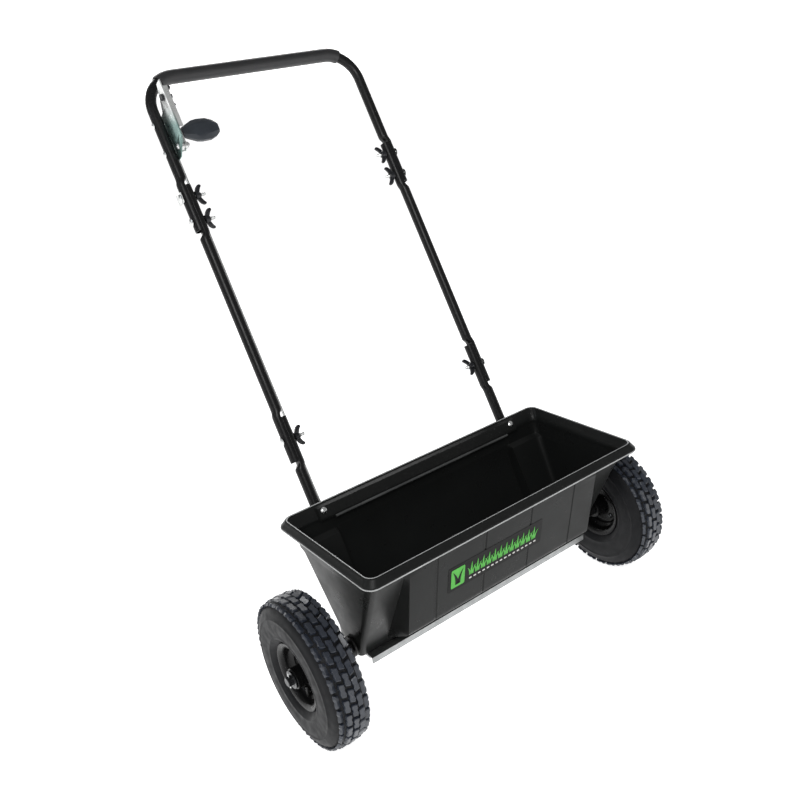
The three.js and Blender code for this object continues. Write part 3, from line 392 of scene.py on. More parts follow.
def wall_ring(z, inset=0.0):
    groove = float(np.interp(z, [146, 152, 298, 303], [0, 1.1, 1.1, 0])) if inset == 0 else 0
    return hopper_ring(rising(z, 259, 276) - inset, rising(z, 18, 113) - inset,
                       max(rising(z, 8, 15) - inset * 0.6, 4), z, front_depth(z) - inset,
                       rear_depth(z) - inset, groove, inset)


LEVELS = [112, 116, 121, 125, 128, 132, 138, 146, 153, 157, 160, 163, 168, 180, 200, 220, 240, 260, 270,
          272.6, 273.4, 276.6, 277.6, 290, 297, 301]
RIM = [  # how far in from the rim's outer face, and height, from under the bead round to the mouth
    (4.2, 311.8), (3.5, 311.2), (3.2, 308.6), (2.6, 308.1), (1.2, 308.0), (0.4, 308.5), (0.0, 309.6),
    (0.0, 312.4), (0.35, 313.7), (1.3, 314.9), (5.9, 321.2), (6.8, 322.9), (8.0, 323.8), (9.2, 324.0),
    (10.2, 323.8), (10.8, 323.0), (11.0, 321.6),
]


def make_hopper():
    grid = [wall_ring(z) for z in LEVELS]
    grid.append(hopper_ring(279.2, 118.2, 15.5, 311.6))
    grid += [hopper_ring(RIM_HALF_X - i, RIM_HALF_Y - i, 19 - i * 0.4, z) for i, z in RIM]
    band_edge = [(320, 0), (311, 0), (304.5, 0.1), (301.5, 0.7), (299.4, 1.8), (298, 3.2), (297.2, 5.0)]
    for z, rounding in band_edge:
        half_x, half_y = np.interp(z, [304, 324], [272.8, 281]), np.interp(z, [304, 324], [109.8, 123])
        band = 115.0 - (323.6 - z) * 0.5 + rounding
        grid.append(hopper_ring(half_x, half_y, 13, z, inset=WALL, band=min(band, half_y - 0.2)))
    grid += [wall_ring(z, WALL) for z in LEVELS[:-2][::-1]]
    hopper = build("hopper_moulding", [rows(grid)])
    tube_ways = [in_handle(rod((s * HANDLE_HALF, 0, -260), (s * HANDLE_HALF, 0, 60), TUBE_R + 1.0, 40, 0.1))
                 for s in (-1, 1)]
    axle_way = rod((-300, 0, AXLE_Z), (300, 0, AXLE_Z), 12.6, 40, 0.1)
    carve(hopper, tube_ways + [axle_way])
    dress(hopper, "moulding", "chassis", "hopper")
    # The two beads round the rim carry a light grey base colour, a painted highlight along the rim's edges.
    beads = []
    circle = np.linspace(0, 2 * math.pi, 13)[:-1]
    for into, z, radius in ((9.5, 323.2, 1.1), (0.9, 310.6, 1.5)):
        loop = [(into - radius * math.cos(a), z + radius * math.sin(a)) for a in circle]
        beads.append(rows([hopper_ring(RIM_HALF_X - i, RIM_HALF_Y - i, 19 - i * 0.4, h) for i, h in loop]))
    dress(carve(build("rim_beads", beads), tube_ways), "painted_highlight_edge", "chassis")
    # A round lip along the lower edge of the rear band; its mottled pale colour is a painted highlight.
    lip = rod((-196, 103.0, 299.4), (196, 103.0, 299.4), 2.4, 16)
    dress(build("band_lip", [lip]), "painted_highlight_lip", "chassis")


make_hopper()


def handle_box(x, y, z):
    corners = [(i, j, k) for i in x for j in y for k in z]
    faces = [(0, 1, 3, 2), (4, 6, 7, 5), (0, 4, 5, 1), (2, 3, 7, 6), (0, 2, 6, 4), (1, 5, 7, 3)]
    return corners, faces


def make_pads():
    """Pads that carry the hopper on its tubes, on the outside of the rear wall."""
    pads = []
    for side in (-1, 1):
        x = (side * HANDLE_HALF - 11.5, side * HANDLE_HALF + 11.5)
        pads.append(in_handle(handle_box(x, (-19, -TUBE_R - 0.4), (-42, -15))))
    dress(build("tube_pads", pads, bevel=1.2), "moulding", "chassis")


make_pads()

# ---------- label ----------
LABEL_X = (-127.0, 79.0)
LABEL_Z = (203.0, 253.0)


def on_front(x, z, proud):
    """A point on the hopper's front panel, held off it by a film's thickness."""
    return (x, -(front_depth(z) + proud), z)


def film(outline, proud, thick=0.25):
    count = len(outline)
    points = [on_front(x, z, proud) for x, z in outline]
    points += [on_front(x, z, proud + thick) for x, z in outline]
    faces = [tuple(range(count)), tuple(range(count, 2 * count))[::-1]]
    faces += [(k, (k + 1) % count, count + (k + 1) % count, count + k) for k in range(count)]
    return points, faces


def rounded(x0, x1, z0, z1, r, steps=4):
    """A rectangle's outline with its corners rounded."""
    ring = []
    centres = ((x1 - r, z1 - r), (x0 + r, z1 - r), (x0 + r, z0 + r), (x1 - r, z0 + r))
    for quarter, (cx, cz) in enumerate(centres):
        for k in range(steps + 1):
            a = math.radians(90 * quarter + 90 * k / steps)
            ring.append((cx + r * math.cos(a), cz + r * math.sin(a)))
    return ring


def blade(root_x, root_z, lean, length, width):
    """A grass blade that leaves its root upright and bows over."""
    steps = 7
    left, right = [], []
    for k in range(steps + 1):
        t = k / steps
        half = width * (1 - t) ** 0.7 / 2
        x = root_x + lean * t * t
        z = root_z + length * t
        left.append((x - half, z))
        right.append((x + half, z))
    return left + right[:-1][::-1]


def make_label():
    x0, x1 = LABEL_X
    z0, z1 = LABEL_Z
    dress(build("label_film", [film(rounded(x0, x1, z0, z1, 2.5), 0.15)]), "label_black", "chassis")
    patches = [film(rounded(x0 + 6, x0 + 34, z0 + 6, z1 - 6, 2.5), 0.5)]
    for k in range(12):
        root = x0 + 48 + k * 12.6
        for lean, length, width in ((-6, 17, 4.2), (1, 26, 5.0), (8, 18, 4.2)):
            patches.append(film(blade(root + lean * 0.35, z0 + 16, lean, length, width), 0.5))
    dress(build("label_grass", patches), "label_green", "chassis")
    leaf = [film(blade(x0 + 20 + s * 1.6, z0 + 11, s * 9, 28, 7.5), 0.85) for s in (-1, 1)]
    dress(build("label_leaf", leaf), "label_black", "chassis")
    seeds = [(x0 + 44 + k * 9.6, x0 + 49.5 + k * 9.6) for k in range(16)]
    row = [film(rounded(a, b, z0 + 7.5, z0 + 10.3, 1.2), 0.5) for a, b in seeds]
    dress(build("label_seed_row", row), "label_pale", "chassis")


make_label()


# ---------- tubes ----------


def tube_ring(at, out, flat, radius, clamp, sides):
    facing = 1 if flat >= 0 else -1
    ring = []
    for k in range(sides):
        a = 2 * math.pi * k / sides
        plain = radius * math.cos(a)
        squashed = facing * max(FLAT_SHIFT + facing * plain, 0.15 + clamp)
        away = plain + (squashed - plain) * abs(flat)
        ring.append((at[0] + out[0] * away, at[1] + radius * math.sin(a), at[2] + out[2] * away))
    return ring


def tube(stations, outer=TUBE_R, wall=TUBE_WALL, sides=40):
    skin = [tube_ring(at, out, flat, outer, 0, sides) for at, out, flat in stations]
    bore = [tube_ring(at, out, flat, outer - wall, wall, sides) for at, out, flat in stations]
    lip = 0.35
    first, last = stations[0], stations[-1]
    start = [tube_ring(first[0], first[1], first[2], outer - lip, lip * 0.5, sides)]
    end = [tube_ring(last[0], last[1], last[2], outer - lip, lip * 0.5, sides)]
    skin[0] = [tuple(np.array(p) + (np.array(q) - p) * 0.04) for p, q in zip(skin[0], skin[1])]
    skin[-1] = [tuple(np.array(p) + (np.array(q) - p) * 0.04) for p, q in zip(skin[-1], skin[-2])]
    return in_handle(rows(start + skin + end + bore[::-1]))


def eased(start, end, flat_from, flat_to, steps=6):
    """Stations where a tube goes from one section to another without a crease."""
    made = []
    for k in range(steps + 1):
        t = k / steps
        ease = t * t * (3 - 2 * t)
        made.append((start + (end - start) * t, flat_from + (flat_to - flat_from) * ease))
    return made


def leg(side, spans):
    return [((side * HANDLE_HALF, 0, h), (side, 0, 0), f) for h, f in spans]


def corner_stations(steps, first=0.0):
    made = []
    centre = HANDLE_HALF - CORNER_R
    for side in (-1, 1):
        for k in range(steps + 1):
            share = k / steps if side < 0 else 1 - k / steps
            a = first + (math.pi / 2 - first) * share
            out = (side * math.cos(a), 0, math.sin(a))
            at = (side * centre + out[0] * CORNER_R, 0, CROSSBAR - CORNER_R + out[2] * CORNER_R)
            made.append((at, out, 0))
    return made


def make_tubes():
    """The two legs in two lengths each, and the bar that joins them at the top."""
    for name, side in SIDES.items():
        lower = [(-176, 0), (-172, 0)] + eased(54, 66, 0, -1) + [(72, -1), (146, -1), (148, -1)]
        dress(build(f"lower_tube_{name}_piece", [tube(leg(side, lower))]), "powder_coat", "chassis",
              f"lower_tube_{name}")
        middle = [(68, 1), (72, 1), (148, 1)] + eased(150, 162, 1, 0) + [(170, 0), (470, 0)]
        middle += eased(476, 488, 0, -1) + [(492, -1), (570, -1), (572, -1)]
        dress(build(f"middle_tube_{name}_piece", [tube(leg(side, middle))]), "powder_coat", "handle",
              f"middle_tube_{name}")

    upper = [(490, 1), (493, 1), (572, 1)] + eased(574, 586, 1, 0) + [(596, 0), (690, 0)]
    bar = tube(leg(-1, upper) + corner_stations(16) + leg(1, upper)[::-1])
    dress(build("handle_bar_piece", [bar]), "powder_coat", "handle", "handle_bar")


make_tubes()

GRIP_FIRST = math.pi / 3
GRIP_R, GRIP_BORE = 12.3, 9.8


def make_grip():
    """A smooth vinyl sleeve with a broken edge at each end."""
    stations = corner_stations(6, GRIP_FIRST)
    dense = []
    for (at0, out0, _), (at1, out1, _) in zip(stations, stations[1:]):
        steps = 40 if abs(at1[0] - at0[0]) > 60 else 2
        for k in range(steps):
            t = k / steps
            at = tuple(a + (b - a) * t for a, b in zip(at0, at1))
            out = tuple(a + (b - a) * t for a, b in zip(out0, out1))
            dense.append((at, out, 0))
    dense.append(stations[-1])
    last = len(dense) - 1
    outer = []
    for k, (at, out, _) in enumerate(dense):
        near = min(k, last - k)
        radius = {0: GRIP_R - 0.4, 1: GRIP_R + 0.1}.get(near, GRIP_R)
        outer.append(tube_ring(at, out, 0, radius, 0, 40))
    inner = [tube_ring(at, out, 0, GRIP_BORE, 0, 40) for at, out, _ in dense]
    return build("hand_grip_sleeve", [in_handle(rows(outer + inner[::-1]))], angle=50)


dress(make_grip(), "grip_vinyl", "handle", "hand_grip")


# ---------- fasteners ----------


def bolt_head(base, out, head_r, height, sides=28):
    """A domed coach head standing off base along out."""
    base, out = Vector(base), Vector(out).normalized()
    side = out.orthogonal().normalized()
    other = out.cross(side)
    profile = [(0.0, head_r - 0.3), (0.3, head_r), (0.22 * height, head_r), (0.55 * height, head_r * 0.82),
               (0.85 * height, head_r * 0.5), (height, head_r * 0.12)]
    grid = [[base + out * up + side * r * math.cos(a) + other * r * math.sin(a)
             for a in np.linspace(0, 2 * math.pi, sides, endpoint=False)] for up, r in profile]
    return rows(grid, wrap=False, caps=True)


def threaded(start, end, radius, pitch=1.25):
    """A shank whose last turns are cut with a thread."""
    start, end = Vector(start), Vector(end)
    axis = (end - start).normalized()
    side = axis.orthogonal().normalized()
    other = axis.cross(side)
    length = (end - start).length
    stations = [(0.0, radius), (length * 0.5, radius)]
    along = length * 0.5
    while along + pitch < length:
        stations += [(along + pitch * 0.25, radius * 0.86), (along + pitch * 0.75, radius)]
        along += pitch
    stations.append((length, radius * 0.8))
    grid = [[start + axis * up + side * r * math.cos(a) + other * r * math.sin(a)
             for a in np.linspace(0, 2 * math.pi, 16, endpoint=False)] for up, r in stations]
    return rows(grid, wrap=False, caps=True)


def x_bolt(name, side, seat, height, length, body, node, y=0.0, head_r=7.5, head=4.0, shank=3.0):
    """A bolt lying along X in the handle's frame, with its head outwards."""
    base = (seat, y, height)
    shells = [bolt_head(base, (side, 0, 0), head_r, head),
              threaded((seat + side * 0.2, y, height), (seat - side * length, y, height), shank)]
    piece = build(name, [in_handle(s) for s in shells], angle=30)
    return dress(piece, "zinc", body, node)


def wing_nut(base, out, turn):
    """A moulded wing nut: a tapered hub and two swept wings, in the handle's frame."""
    hub = [(0.0, 6.9), (0.6, 7.5), (3.0, 7.1), (7.5, 5.7), (9.4, 5.1), (10.0, 4.4)]
    angles = [2 * math.pi * k / 28 for k in range(28)]
    grid = [[(up, r * math.cos(a), r * math.sin(a)) for a in angles] for up, r in hub]
    shells = [rows(grid, wrap=False, caps=True)]
    outline = [(2.5, 1.6), (7.5, 2.1), (12.0, 4.2), (15.6, 7.2), (17.6, 10.6), (17.8, 13.2), (16.4, 15.3),
               (14.2, 15.6), (11.8, 13.4), (8.6, 11.4), (5.0, 9.6), (2.5, 8.6)]
    for wing in (-1, 1):
        layers = []
        for thick, grow in ((-2.1, 0.82), (-1.6, 1.0), (1.6, 1.0), (2.1, 0.82)):
            mid = np.mean(outline, 0)
            layers.append([(mid[1] + (u - mid[1]) * grow, thick, wing * (mid[0] + (w - mid[0]) * grow))
                           for w, u in outline])
        shells.append(rows(layers, wrap=False, caps=True))
    cos, sin = math.cos(turn), math.sin(turn)
    placed = []
    for points, faces in shells:
        p = np.asarray(points, float)
        y = p[:, 1] * cos - p[:, 2] * sin
        z = p[:, 1] * sin + p[:, 2] * cos
        placed.append(in_handle((np.stack([base[0] + out * p[:, 0], base[1] + y, base[2] + z], 1), faces)))
    return placed


HANDLE_JOINTS = [
    ("fold_left", -1, FOLD_BOLT, 12, 0.3), ("fold_right", 1, FOLD_BOLT, -18, 0.3),
    ("splice_low_left", -1, SPLICE_BOLTS[0], 18, 0.3), ("splice_low_right", 1, SPLICE_BOLTS[0], 8, 0.3),
    ("splice_top_left", -1, SPLICE_BOLTS[1], 6, 2.2), ("splice_top_right", 1, SPLICE_BOLTS[1], -10, 0.3),
]


def make_fasteners():
    """The bolts and wing nuts of the handle, the hopper's screws and the stand's bolts."""
    for name, side, height, wing_turn, seat in HANDLE_JOINTS:
        x_bolt(f"{name}_carriage_bolt", side, side * (HANDLE_HALF + FLAT_DEPTH + seat), height, 43.5 + seat,
               "handle", f"{name}_bolt")
        nut = wing_nut((side * (HANDLE_HALF - FLAT_DEPTH - 0.3), 0, height), -side, math.radians(wing_turn))
        dress(build(f"{name}_wings", nut, angle=40), "knob_plastic", "handle", f"{name}_wing_nut")

    for name, side in SIDES.items():
        base = (side * HANDLE_HALF, -24.3, HOPPER_SCREW)
        tip = (side * HANDLE_HALF, 0.7, HOPPER_SCREW)
        shells = [bolt_head(base, (0, -1, 0), 6, 3.2), threaded(base, tip, 2.5)]
        dress(build(f"hopper_screw_{name}_piece", [in_handle(s) for s in shells]), "zinc", "chassis",
              f"hopper_screw_{name}")
        x_bolt(f"stand_bolt_{name}_piece", side, side * (HANDLE_HALF + TUBE_R + 6 + 2.5 + 6 + 0.3),
               STAND_TOP,
               33.5, "chassis", f"stand_bolt_{name}")


make_fasteners()

# ---------- gauge, lever, rod ----------
PLATE_X = -HANDLE_HALF + TUBE_R + 0.3
PIVOT = (-20.0, 634.0)
refined("gauge_plate", "passivated", "handle", 0.4)
refined("control_lever", "zinc", "lever", 0.4)
refined("lever_grip", "lever_plastic", "lever", 1.1, 3)
refined("rod_guide", "zinc", "handle", 0.35)
refined("rate_stop", "knob_plastic", "rate_stop_knob", 0.5)
refined("lever_pivot_nut", "zinc", "handle", 0.4)
for number, height in ((1, 632.0), (2, 684.0)):
    x_bolt(f"gauge_bolt_{number}_piece", -1, -HANDLE_HALF - TUBE_R - 0.3, height, 23.5, "handle",
           f"gauge_bolt_{number}", head_r=5.5, head=3.0, shank=2.5)
x_bolt("lever_pivot_bolt_piece", -1, PLATE_X - 0.3, PIVOT[1], 20.5, "handle", "lever_pivot_bolt", y=PIVOT[0],
       head_r=5.5, head=3.0)
# The gauge plate's flange and upper part get a painted highlight in bright silver.
paint_highlight_beyond(FINISHES["passivated"], (PLATE_X + 1.8) * MM, 0.93)
bpy.data.objects["lever_standoff"].data.materials.clear()
bpy.data.objects["lever_standoff"].data.materials.append(FINISHES["zinc"])

ROD_X, ROD_Y = -197.0, 14.5


def bent_rod(path, radius, bend=6.0, sides=20, steps=6):
    """A wire through the corners of a path, each bend rounded to a radius."""
    path = [Vector(p) for p in path]
    centre = [path[0]]
    for before, at, after in zip(path, path[1:], path[2:]):
        a, b = (before - at).normalized(), (after - at).normalized()
        for k in range(steps + 1):
            t = k / steps
            centre.append(at + a * bend * (1 - t) ** 2 + b * bend * t ** 2)
    centre.append(path[-1])
    grid = []
    side = None
    for i, at in enumerate(centre):
        ahead = centre[min(i + 1, len(centre) - 1)] - centre[max(i - 1, 0)]
        axis = ahead.normalized()
        side = axis.orthogonal().normalized() if side is None else (side - axis * side.dot(axis)).normalized()
        other = axis.cross(side)
        grid.append([at + side * radius * math.cos(w) + other * radius * math.sin(w)
                     for w in np.linspace(0, 2 * math.pi, sides, endpoint=False)])
    return rows(grid, wrap=False, caps=True)


def make_rod():
    top = PIVOT[1] + (ROD_Y - PIVOT[0]) * math.tan(math.radians(16))
    cos, sin = math.cos(LEAN), math.sin(LEAN)
    foot_z = (122.0 - RIM_TOP + sin * ROD_Y) / cos
    foot = (ROD_X, ROD_Y, foot_z)
    hook = (ROD_X, ROD_Y + 24 * cos, foot_z + 24 * sin)
    path = [(-184.6, ROD_Y, top), (ROD_X, ROD_Y, top), foot, hook]
    piece = build("control_rod_wire", [in_handle(bent_rod(path, 2.45, 4.0))])
    return dress(piece, "zinc", "pull_rod", "control_rod")


make_rod()

# ---------- pan, shutter, crank ----------
refined("drop_pan", "galvanised", "chassis", 0.45)
refined("shutter", "zinc", "blade", 0.25, 1)
refined("shutter_rail_front", "zinc", "chassis", 0.3)
refined("shutter_rail_rear", "zinc", "chassis", 0.3)
refined("bell_crank", "zinc", "crank", 0.35)
refined("crank_bracket", "zinc", "chassis", 0.35)
refined("agitator", "nylon", "drive_axle", 0.4, 1)


# ---------- stand ----------


def make_stand():
    top_x, foot_x, radius = HANDLE_HALF + TUBE_R + 8.5, 186.0, 5.9
    top = on_handle([(0, 0, STAND_TOP)])[0]
    foot = np.array([0, 168.0, 6.0])
    down = (foot - top) / np.linalg.norm(foot - top)
    path = []
    for side in (-1, 1):
        start = top + down * -9 + (side * top_x, 0, 0)
        knee = top + down * 26 + (side * top_x, 0, 0)
        low = foot + (side * foot_x, 0, 0)
        ends = [start, knee, low]
        path += ends if side < 0 else ends[::-1]
    piece = build("stand_tube", [bent_rod(path, radius, 24.0, 28, 8)])
    return dress(piece, "powder_coat", "chassis", "stand")


make_stand()

# ---------- axle ----------
AXLE = (0.0, 0.0, AXLE_Z)
AXLE_R, AXLE_HALF = 8, 385
BORE_R = 8.3
BUSH_FACE = 262.3  # the hopper's end wall, where the bush's flange sits
HUB_OUT = WHEEL_X + HUB_HALF


def make_axle():
    """The axle and all that sits on it between the wheels."""
    axle_bar = rod((-AXLE_HALF, 0, AXLE_Z), (AXLE_HALF, 0, AXLE_Z), AXLE_R, 40, 1.0)
    dress(build("axle_bar", [axle_bar]), "dark_steel", "drive_axle", "axle")
    for name, side in SIDES.items():
        wall = BUSH_FACE
        flange = [(BORE_R, wall - 8), (12, wall - 8), (12, wall + 0.3), (17.6, wall + 0.3), (18, wall + 0.8),
                  (18, wall + 3.4), (17.4, wall + 4), (9.2, wall + 4), (BORE_R, wall + 3.2)]
        bush = turned([(r, side * x) for r, x in flange], AXLE, 48)
        dress(build(f"axle_bush_{name}_piece", [bush]), "nylon", "chassis", f"axle_bush_{name}")
        x0, x1 = wall + 5, WHEEL_X - HUB_HALF - 1
        sleeve = [(BORE_R, x0), (11, x0), (11.5, x0 + 0.5), (11.5, x1 - 0.5), (11, x1), (BORE_R, x1)]
        spacer = turned([(r, side * x) for r, x in sleeve], AXLE, 48)
        dress(build(f"axle_spacer_{name}_piece", [spacer]), "powder_coat", "drive_axle",
              f"axle_spacer_{name}")
        x0, x1 = HUB_OUT + 1, HUB_OUT + 3
        disc = [(BORE_R, x0), (14.7, x0), (15, x0 + 0.3), (15, x1 - 0.3), (14.7, x1), (BORE_R, x1)]
        washer = turned([(r, side * x) for r, x in disc], AXLE, 48)
        dress(build(f"axle_washer_{name}_piece", [washer]), "dark_steel", "drive_axle",
              f"axle_washer_{name}")
        pin_x = side * (AXLE_HALF - 5)
        shells = [rod((pin_x, 0, AXLE_Z - 13), (pin_x, 0, AXLE_Z + 12), 1.5, 16)]
        eye = [(pin_x + 3.2 * math.sin(a) * 0.35, 3.0 * math.sin(a), AXLE_Z + 11.3 + 2.6 - 2.6 * math.cos(a))
               for a in np.linspace(0, 2 * math.pi, 9)[:-1]]
        shells.append(bent_rod(eye + [eye[0]], 0.8, 0.6, 10, 2))
        dress(build(f"cotter_pin_{name}_piece", shells), "zinc", "drive_axle", f"cotter_pin_{name}")
    pin_x = HUB_OUT - 6
    drive_pin = rod((pin_x, 0, AXLE_Z - 21), (pin_x, 0, AXLE_Z + 21), 2.5, 20)
    dress(build("drive_pin_piece", [drive_pin]), "zinc", "drive_axle", "drive_pin")


make_axle()

# ---------- wheels ----------
CROWN = [(51.7, 23.4), (55.0, 24.4), (58.4, 25.4), (60.4, 28.2), (63.5, 30.8), (66.0, 32.6), (67.6, 33.4),
         (68.4, 34.3), (70.4, 34.5), (71.4, 34.0), (78.0, 35.0), (86.0, 35.5), (94.0, 35.2), (98.6, 34.4),
         (99.4, 34.9), (101.0, 34.6), (101.8, 33.8), (107.0, 32.0), (111.4, 30.1), (115.0, 27.8),
         (118.2, 24.4), (120.7, 19.6), (122.2, 13.5), (123.0, 7.0), (123.2, 0.0)]
TREAD_FROM = 17  # the first point of CROWN that lies under the tread
LINER = [(51.7, 18.6), (61.5, 25.4), (72.0, 28.0), (90.0, 28.6), (108.0, 22.0), (115.0, 12.0),
         (116.5, 0.0)]
TREAD_COLUMNS = (-22.8, -11.5, 0.0, 11.5, 22.8)
TREAD_PITCH = 30


def crown_at(x):
    """The tread surface's radius at x, and its slope towards the shoulder."""
    rs = [r for r, w in CROWN[TREAD_FROM:]][::-1]
    ws = [w for r, w in CROWN[TREAD_FROM:]][::-1]
    radius = float(np.interp(abs(x), ws, rs))
    slope = (np.interp(abs(x) + 1, ws, rs) - np.interp(abs(x) - 1, ws, rs)) / 2
    return radius, math.copysign(math.atan(slope), x) if x else 0.0


def tread_block(skew):
    """A zigzag tread block, tapered and broken at its top edge; Z is outwards."""
    outline = [(-4.9, -8.6), (-1.2, -10.2), (3.6, -11.4), (5.2, -6.4), (3.6, -1.4), (5.0, 3.6), (4.4, 8.8),
               (1.0, 10.2), (-3.6, 11.4), (-5.2, 6.4), (-3.6, 1.4), (-5.0, -3.6)]
    taper = ((-1.5, 1.06), (2.6, 0.97), (3.25, 0.86))
    layers = [[(skew * x * s, y * s, z) for x, y in outline] for z, s in taper]
    points, faces = rows(layers, wrap=False, caps=True)
    mesh = bpy.data.meshes.new("tread_block")
    mesh.from_pydata([tuple(p * MM) for p in points], [], faces)
    bm = bmesh.new()
    bm.from_mesh(mesh)
    bmesh.ops.recalc_face_normals(bm, faces=bm.faces)
    bm.to_mesh(mesh)
    bm.free()
    return add_object("tread_block", mesh)


def block_ring_tree():
    """Geometry Nodes: one block on every point, turned by the point's own angles."""
    tree = bpy.data.node_groups.new("tread_ring", "GeometryNodeTree")
    tree.interface.new_socket("Geometry", in_out="INPUT", socket_type="NodeSocketGeometry")
    tree.interface.new_socket("Block", in_out="INPUT", socket_type="NodeSocketObject")
    tree.interface.new_socket("Block size", in_out="INPUT", socket_type="NodeSocketFloat")
    tree.interface.new_socket("Rubber", in_out="INPUT", socket_type="NodeSocketMaterial")
    tree.interface.new_socket("Geometry", in_out="OUTPUT", socket_type="NodeSocketGeometry")
    nodes, links = tree.nodes, tree.links
    source, sink = nodes.new("NodeGroupInput"), nodes.new("NodeGroupOutput")
    block = nodes.new("GeometryNodeObjectInfo")
    links.new(source.outputs["Block"], block.inputs["Object"])
    turn = nodes.new("GeometryNodeInputNamedAttribute")
    turn.data_type = "FLOAT_VECTOR"
    turn.inputs["Name"].default_value = "turn"
    scatter = nodes.new("GeometryNodeInstanceOnPoints")
    links.new(source.outputs["Geometry"], scatter.inputs["Points"])
    links.new(block.outputs["Geometry"], scatter.inputs["Instance"])
    links.new(turn.outputs["Attribute"], scatter.inputs["Rotation"])
    links.new(source.outputs["Block size"], scatter.inputs["Scale"])
    real = nodes.new("GeometryNodeRealizeInstances")
    links.new(scatter.outputs["Instances"], real.inputs["Geometry"])
    paint = nodes.new("GeometryNodeSetMaterial")
    links.new(real.outputs["Geometry"], paint.inputs["Geometry"])
    links.new(source.outputs["Rubber"], paint.inputs["Material"])
    links.new(paint.outputs["Geometry"], sink.inputs["Geometry"])
    return tree


RING_TREE = block_ring_tree()


def set_input(modifier, label, value):
    for item in modifier.node_group.interface.items_tree:
        if item.name == label and item.in_out == "INPUT":
            modifier[item.identifier] = value


def tread_half(name, centre_x, columns, skew):
    places, turns = [], []
    for column in columns:
        radius, slope = crown_at(column)
        stagger = 0.5 * (TREAD_COLUMNS.index(column) % 2)
        for k in range(TREAD_PITCH):
            a = 2 * math.pi * (k + stagger) / TREAD_PITCH
            out = Vector((-math.sin(slope), math.cos(slope) * math.cos(a), math.cos(slope) * math.sin(a)))
            along = Vector((0, -math.sin(a), math.cos(a)))
            across = along.cross(out)
            places.append((centre_x + column, radius * math.cos(a), AXLE_Z + radius * math.sin(a)))
            turns.append(Matrix((across, along, out)).transposed().to_euler())
    mesh = bpy.data.meshes.new(name)
    mesh.from_pydata([tuple(p) for p in machine(places)], [], [])
    layer = mesh.attributes.new("turn", "FLOAT_VECTOR", "POINT")
    layer.data.foreach_set("vector", [value for turn in turns for value in turn])
    block = tread_block(skew)
    ring = add_object(name, mesh)
    modifier = ring.modifiers.new("blocks", "NODES")
    modifier.node_group = RING_TREE
    set_input(modifier, "Block", block)
    set_input(modifier, "Block size", 1.0)
    set_input(modifier, "Rubber", FINISHES["tread_rubber"])
    bpy.context.view_layer.update()
    real = bpy.data.meshes.new_from_object(ring.evaluated_get(bpy.context.evaluated_depsgraph_get()))
    ring.modifiers.clear()
    ring.data = real
    bpy.data.objects.remove(block)
    return ring


def make_tyre(name, side, body):
    centre = (side * WHEEL_X, 0, AXLE_Z)
    outer = [(r, -w) for r, w in CROWN] + CROWN[:-1][::-1]
    inner = LINER + [(r, -w) for r, w in LINER[:-1][::-1]]
    dress(build(f"tyre_{name}_casing", [turned(outer + inner, centre, 120)], angle=50), "tyre_rubber", body,
          f"tyre_{name}")
    left = tread_half(f"tread_{name}_a", centre[0], TREAD_COLUMNS[:3], 1)
    right = tread_half(f"tread_{name}_b", centre[0], TREAD_COLUMNS[3:], -1)
    for half in (left, right):
        smooth(half.data, 30)
        dress(half, "tread_rubber", body)


RIM_FACE = [(57.0, 26.2), (57.4, 27.2), (57.0, 28.0), (55.6, 28.2), (53.0, 27.3), (50.0, 26.0), (48.0, 24.0),
            (47.0, 19.0), (46.4, 14.0), (44.5, 11.4), (41.5, 9.6), (39.6, 8.0), (39.0, 4.6), (37.6, 3.0),
            (34.0, 2.2), (24.0, 2.2), (20.6, 3.0), (18.4, 5.0), (17.2, 8.0), (17.0, 12.0), (17.0, 32.2),
            (16.2, 33.0), (9.2, 33.0), (8.3, 32.2)]
RIM_SEAT = [(50.5, 24.0), (49.6, 15.0), (46.0, 11.6), (42.4, 9.4)]


def make_rim(name, side, body):
    centre = (side * WHEEL_X, 0, AXLE_Z)
    back = [(r, -w) for r, w in RIM_FACE[::-1]]
    seat = [(r, -w) for r, w in RIM_SEAT] + RIM_SEAT[::-1]
    rim = build(f"wheel_rim_{name}_pressing", [turned(RIM_FACE + back + seat, centre, 96)], angle=38)
    dress(rim, "rim_paint", body, f"wheel_rim_{name}")
    shells = []
    for k in range(4):
        a = math.pi / 4 + k * math.pi / 2
        for face_side in (-1, 1):
            base = (centre[0] + face_side * 2.4, 29 * math.cos(a), AXLE_Z + 29 * math.sin(a))
            shells.append(bolt_head(base, (face_side, 0, 0), 5.2, 4.2, 6))
    dress(build(f"wheel_rim_{name}_bolts", shells, bevel=0.35, angle=25), "dark_steel", body)
    stem_x = centre[0] + side * 13
    stem = [(3.0, 100.2), (3.0, 86.0), (2.6, 85.4), (2.6, 76.0), (2.2, 74.2)]
    circle = np.linspace(0, 2 * math.pi, 20)[:-1]
    grid = [[(stem_x + r * math.cos(w), r * math.sin(w), z) for w in circle] for r, z in stem]
    dress(build(f"valve_stem_{name}_piece", [rows(grid, wrap=False, caps=True)]), "nylon", body,
          f"valve_stem_{name}")


for name, side, body in (("left", -1, "free_wheel"), ("right", 1, "drive_axle")):
    make_tyre(name, side, body)
    make_rim(name, side, body)

# ---------- camera, lights, floor ----------
CAMERA_AT = (-789.0, -1016.0, 1026.0)
RIGHT = Vector((0.7949, -0.5947, -0.1199))
UP = Vector((0.3236, 0.2484, 0.9131))
LENS = 38.8


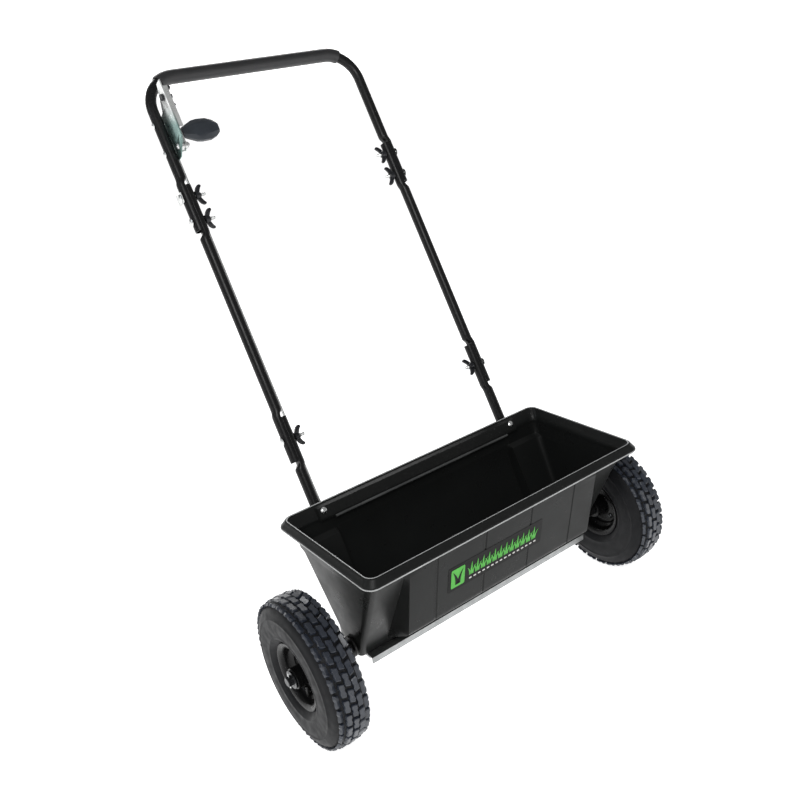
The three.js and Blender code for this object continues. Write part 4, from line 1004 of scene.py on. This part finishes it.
def make_camera():
    data = bpy.data.cameras.new("camera")
    data.lens = LENS
    data.sensor_width = 36.0
    camera = add_object("camera", data)
    back = RIGHT.cross(UP).normalized()
    turn = Matrix((RIGHT.normalized(), UP.normalized(), back)).transposed().to_4x4()
    camera.matrix_world = Matrix.Translation(machine([CAMERA_AT])[0]) @ turn
    bpy.context.scene.camera = camera
    bpy.context.scene.view_settings.view_transform = "Standard"


def area_light(name, at, size, power, colour=(1, 1, 1)):
    data = bpy.data.lights.new(name, "AREA")
    data.shape = "RECTANGLE"
    data.size, data.size_y = size
    data.energy = power
    data.color = colour
    light = add_object(name, data)
    light.location = at
    light.rotation_euler = (Vector((0, 0, 0.35)) - Vector(at)).to_track_quat("-Z", "Y").to_euler()


def make_lights():
    world = bpy.context.scene.world or bpy.data.worlds.new("world")
    bpy.context.scene.world = world
    world.use_nodes = True
    world.node_tree.nodes["Background"].inputs["Color"].default_value = (1, 1, 1, 1)
    world.node_tree.nodes["Background"].inputs["Strength"].default_value = 0.3
    area_light("key", (-1.6, -2.2, 2.6), (1.6, 1.2), 45)
    area_light("back", (0.8, 2.4, 2.4), (2.4, 0.7), 40)
    area_light("side", (-2.8, 0.4, 2.4), (0.5, 1.2), 6, (0.85, 0.92, 1.0))


def make_floor():
    """A round pale floor with a low wall, in metres, under and behind the machine."""
    radius, height, sides = 30, 4, 64
    angles = np.linspace(0, 2 * math.pi, sides + 1)[:-1]
    ring = [(radius * math.cos(a), radius * math.sin(a)) for a in angles]
    points = [(x, y, z) for z in (0, height) for x, y in ring]
    faces = [tuple(range(sides))]
    faces += [(k, (k + 1) % sides, sides + (k + 1) % sides, sides + k) for k in range(sides)]
    mesh = bpy.data.meshes.new("studio_floor")
    mesh.from_pydata(points, [], faces)
    floor = add_object("studio_floor", mesh)
    pale = bpy.data.materials.new("pale_floor")
    pale.use_nodes = True
    shader = pale.node_tree.nodes["Principled BSDF"]
    shader.inputs["Base Color"].default_value = (0.95, 0.95, 0.95, 1)
    shader.inputs["Roughness"].default_value = 0.9
    shader.inputs["Specular IOR Level"].default_value = 0.1
    shader.inputs["Emission Color"].default_value = (1, 1, 1, 1)
    shader.inputs["Emission Strength"].default_value = 0.8
    mesh.materials.append(pale)


make_camera()
make_lights()
make_floor()
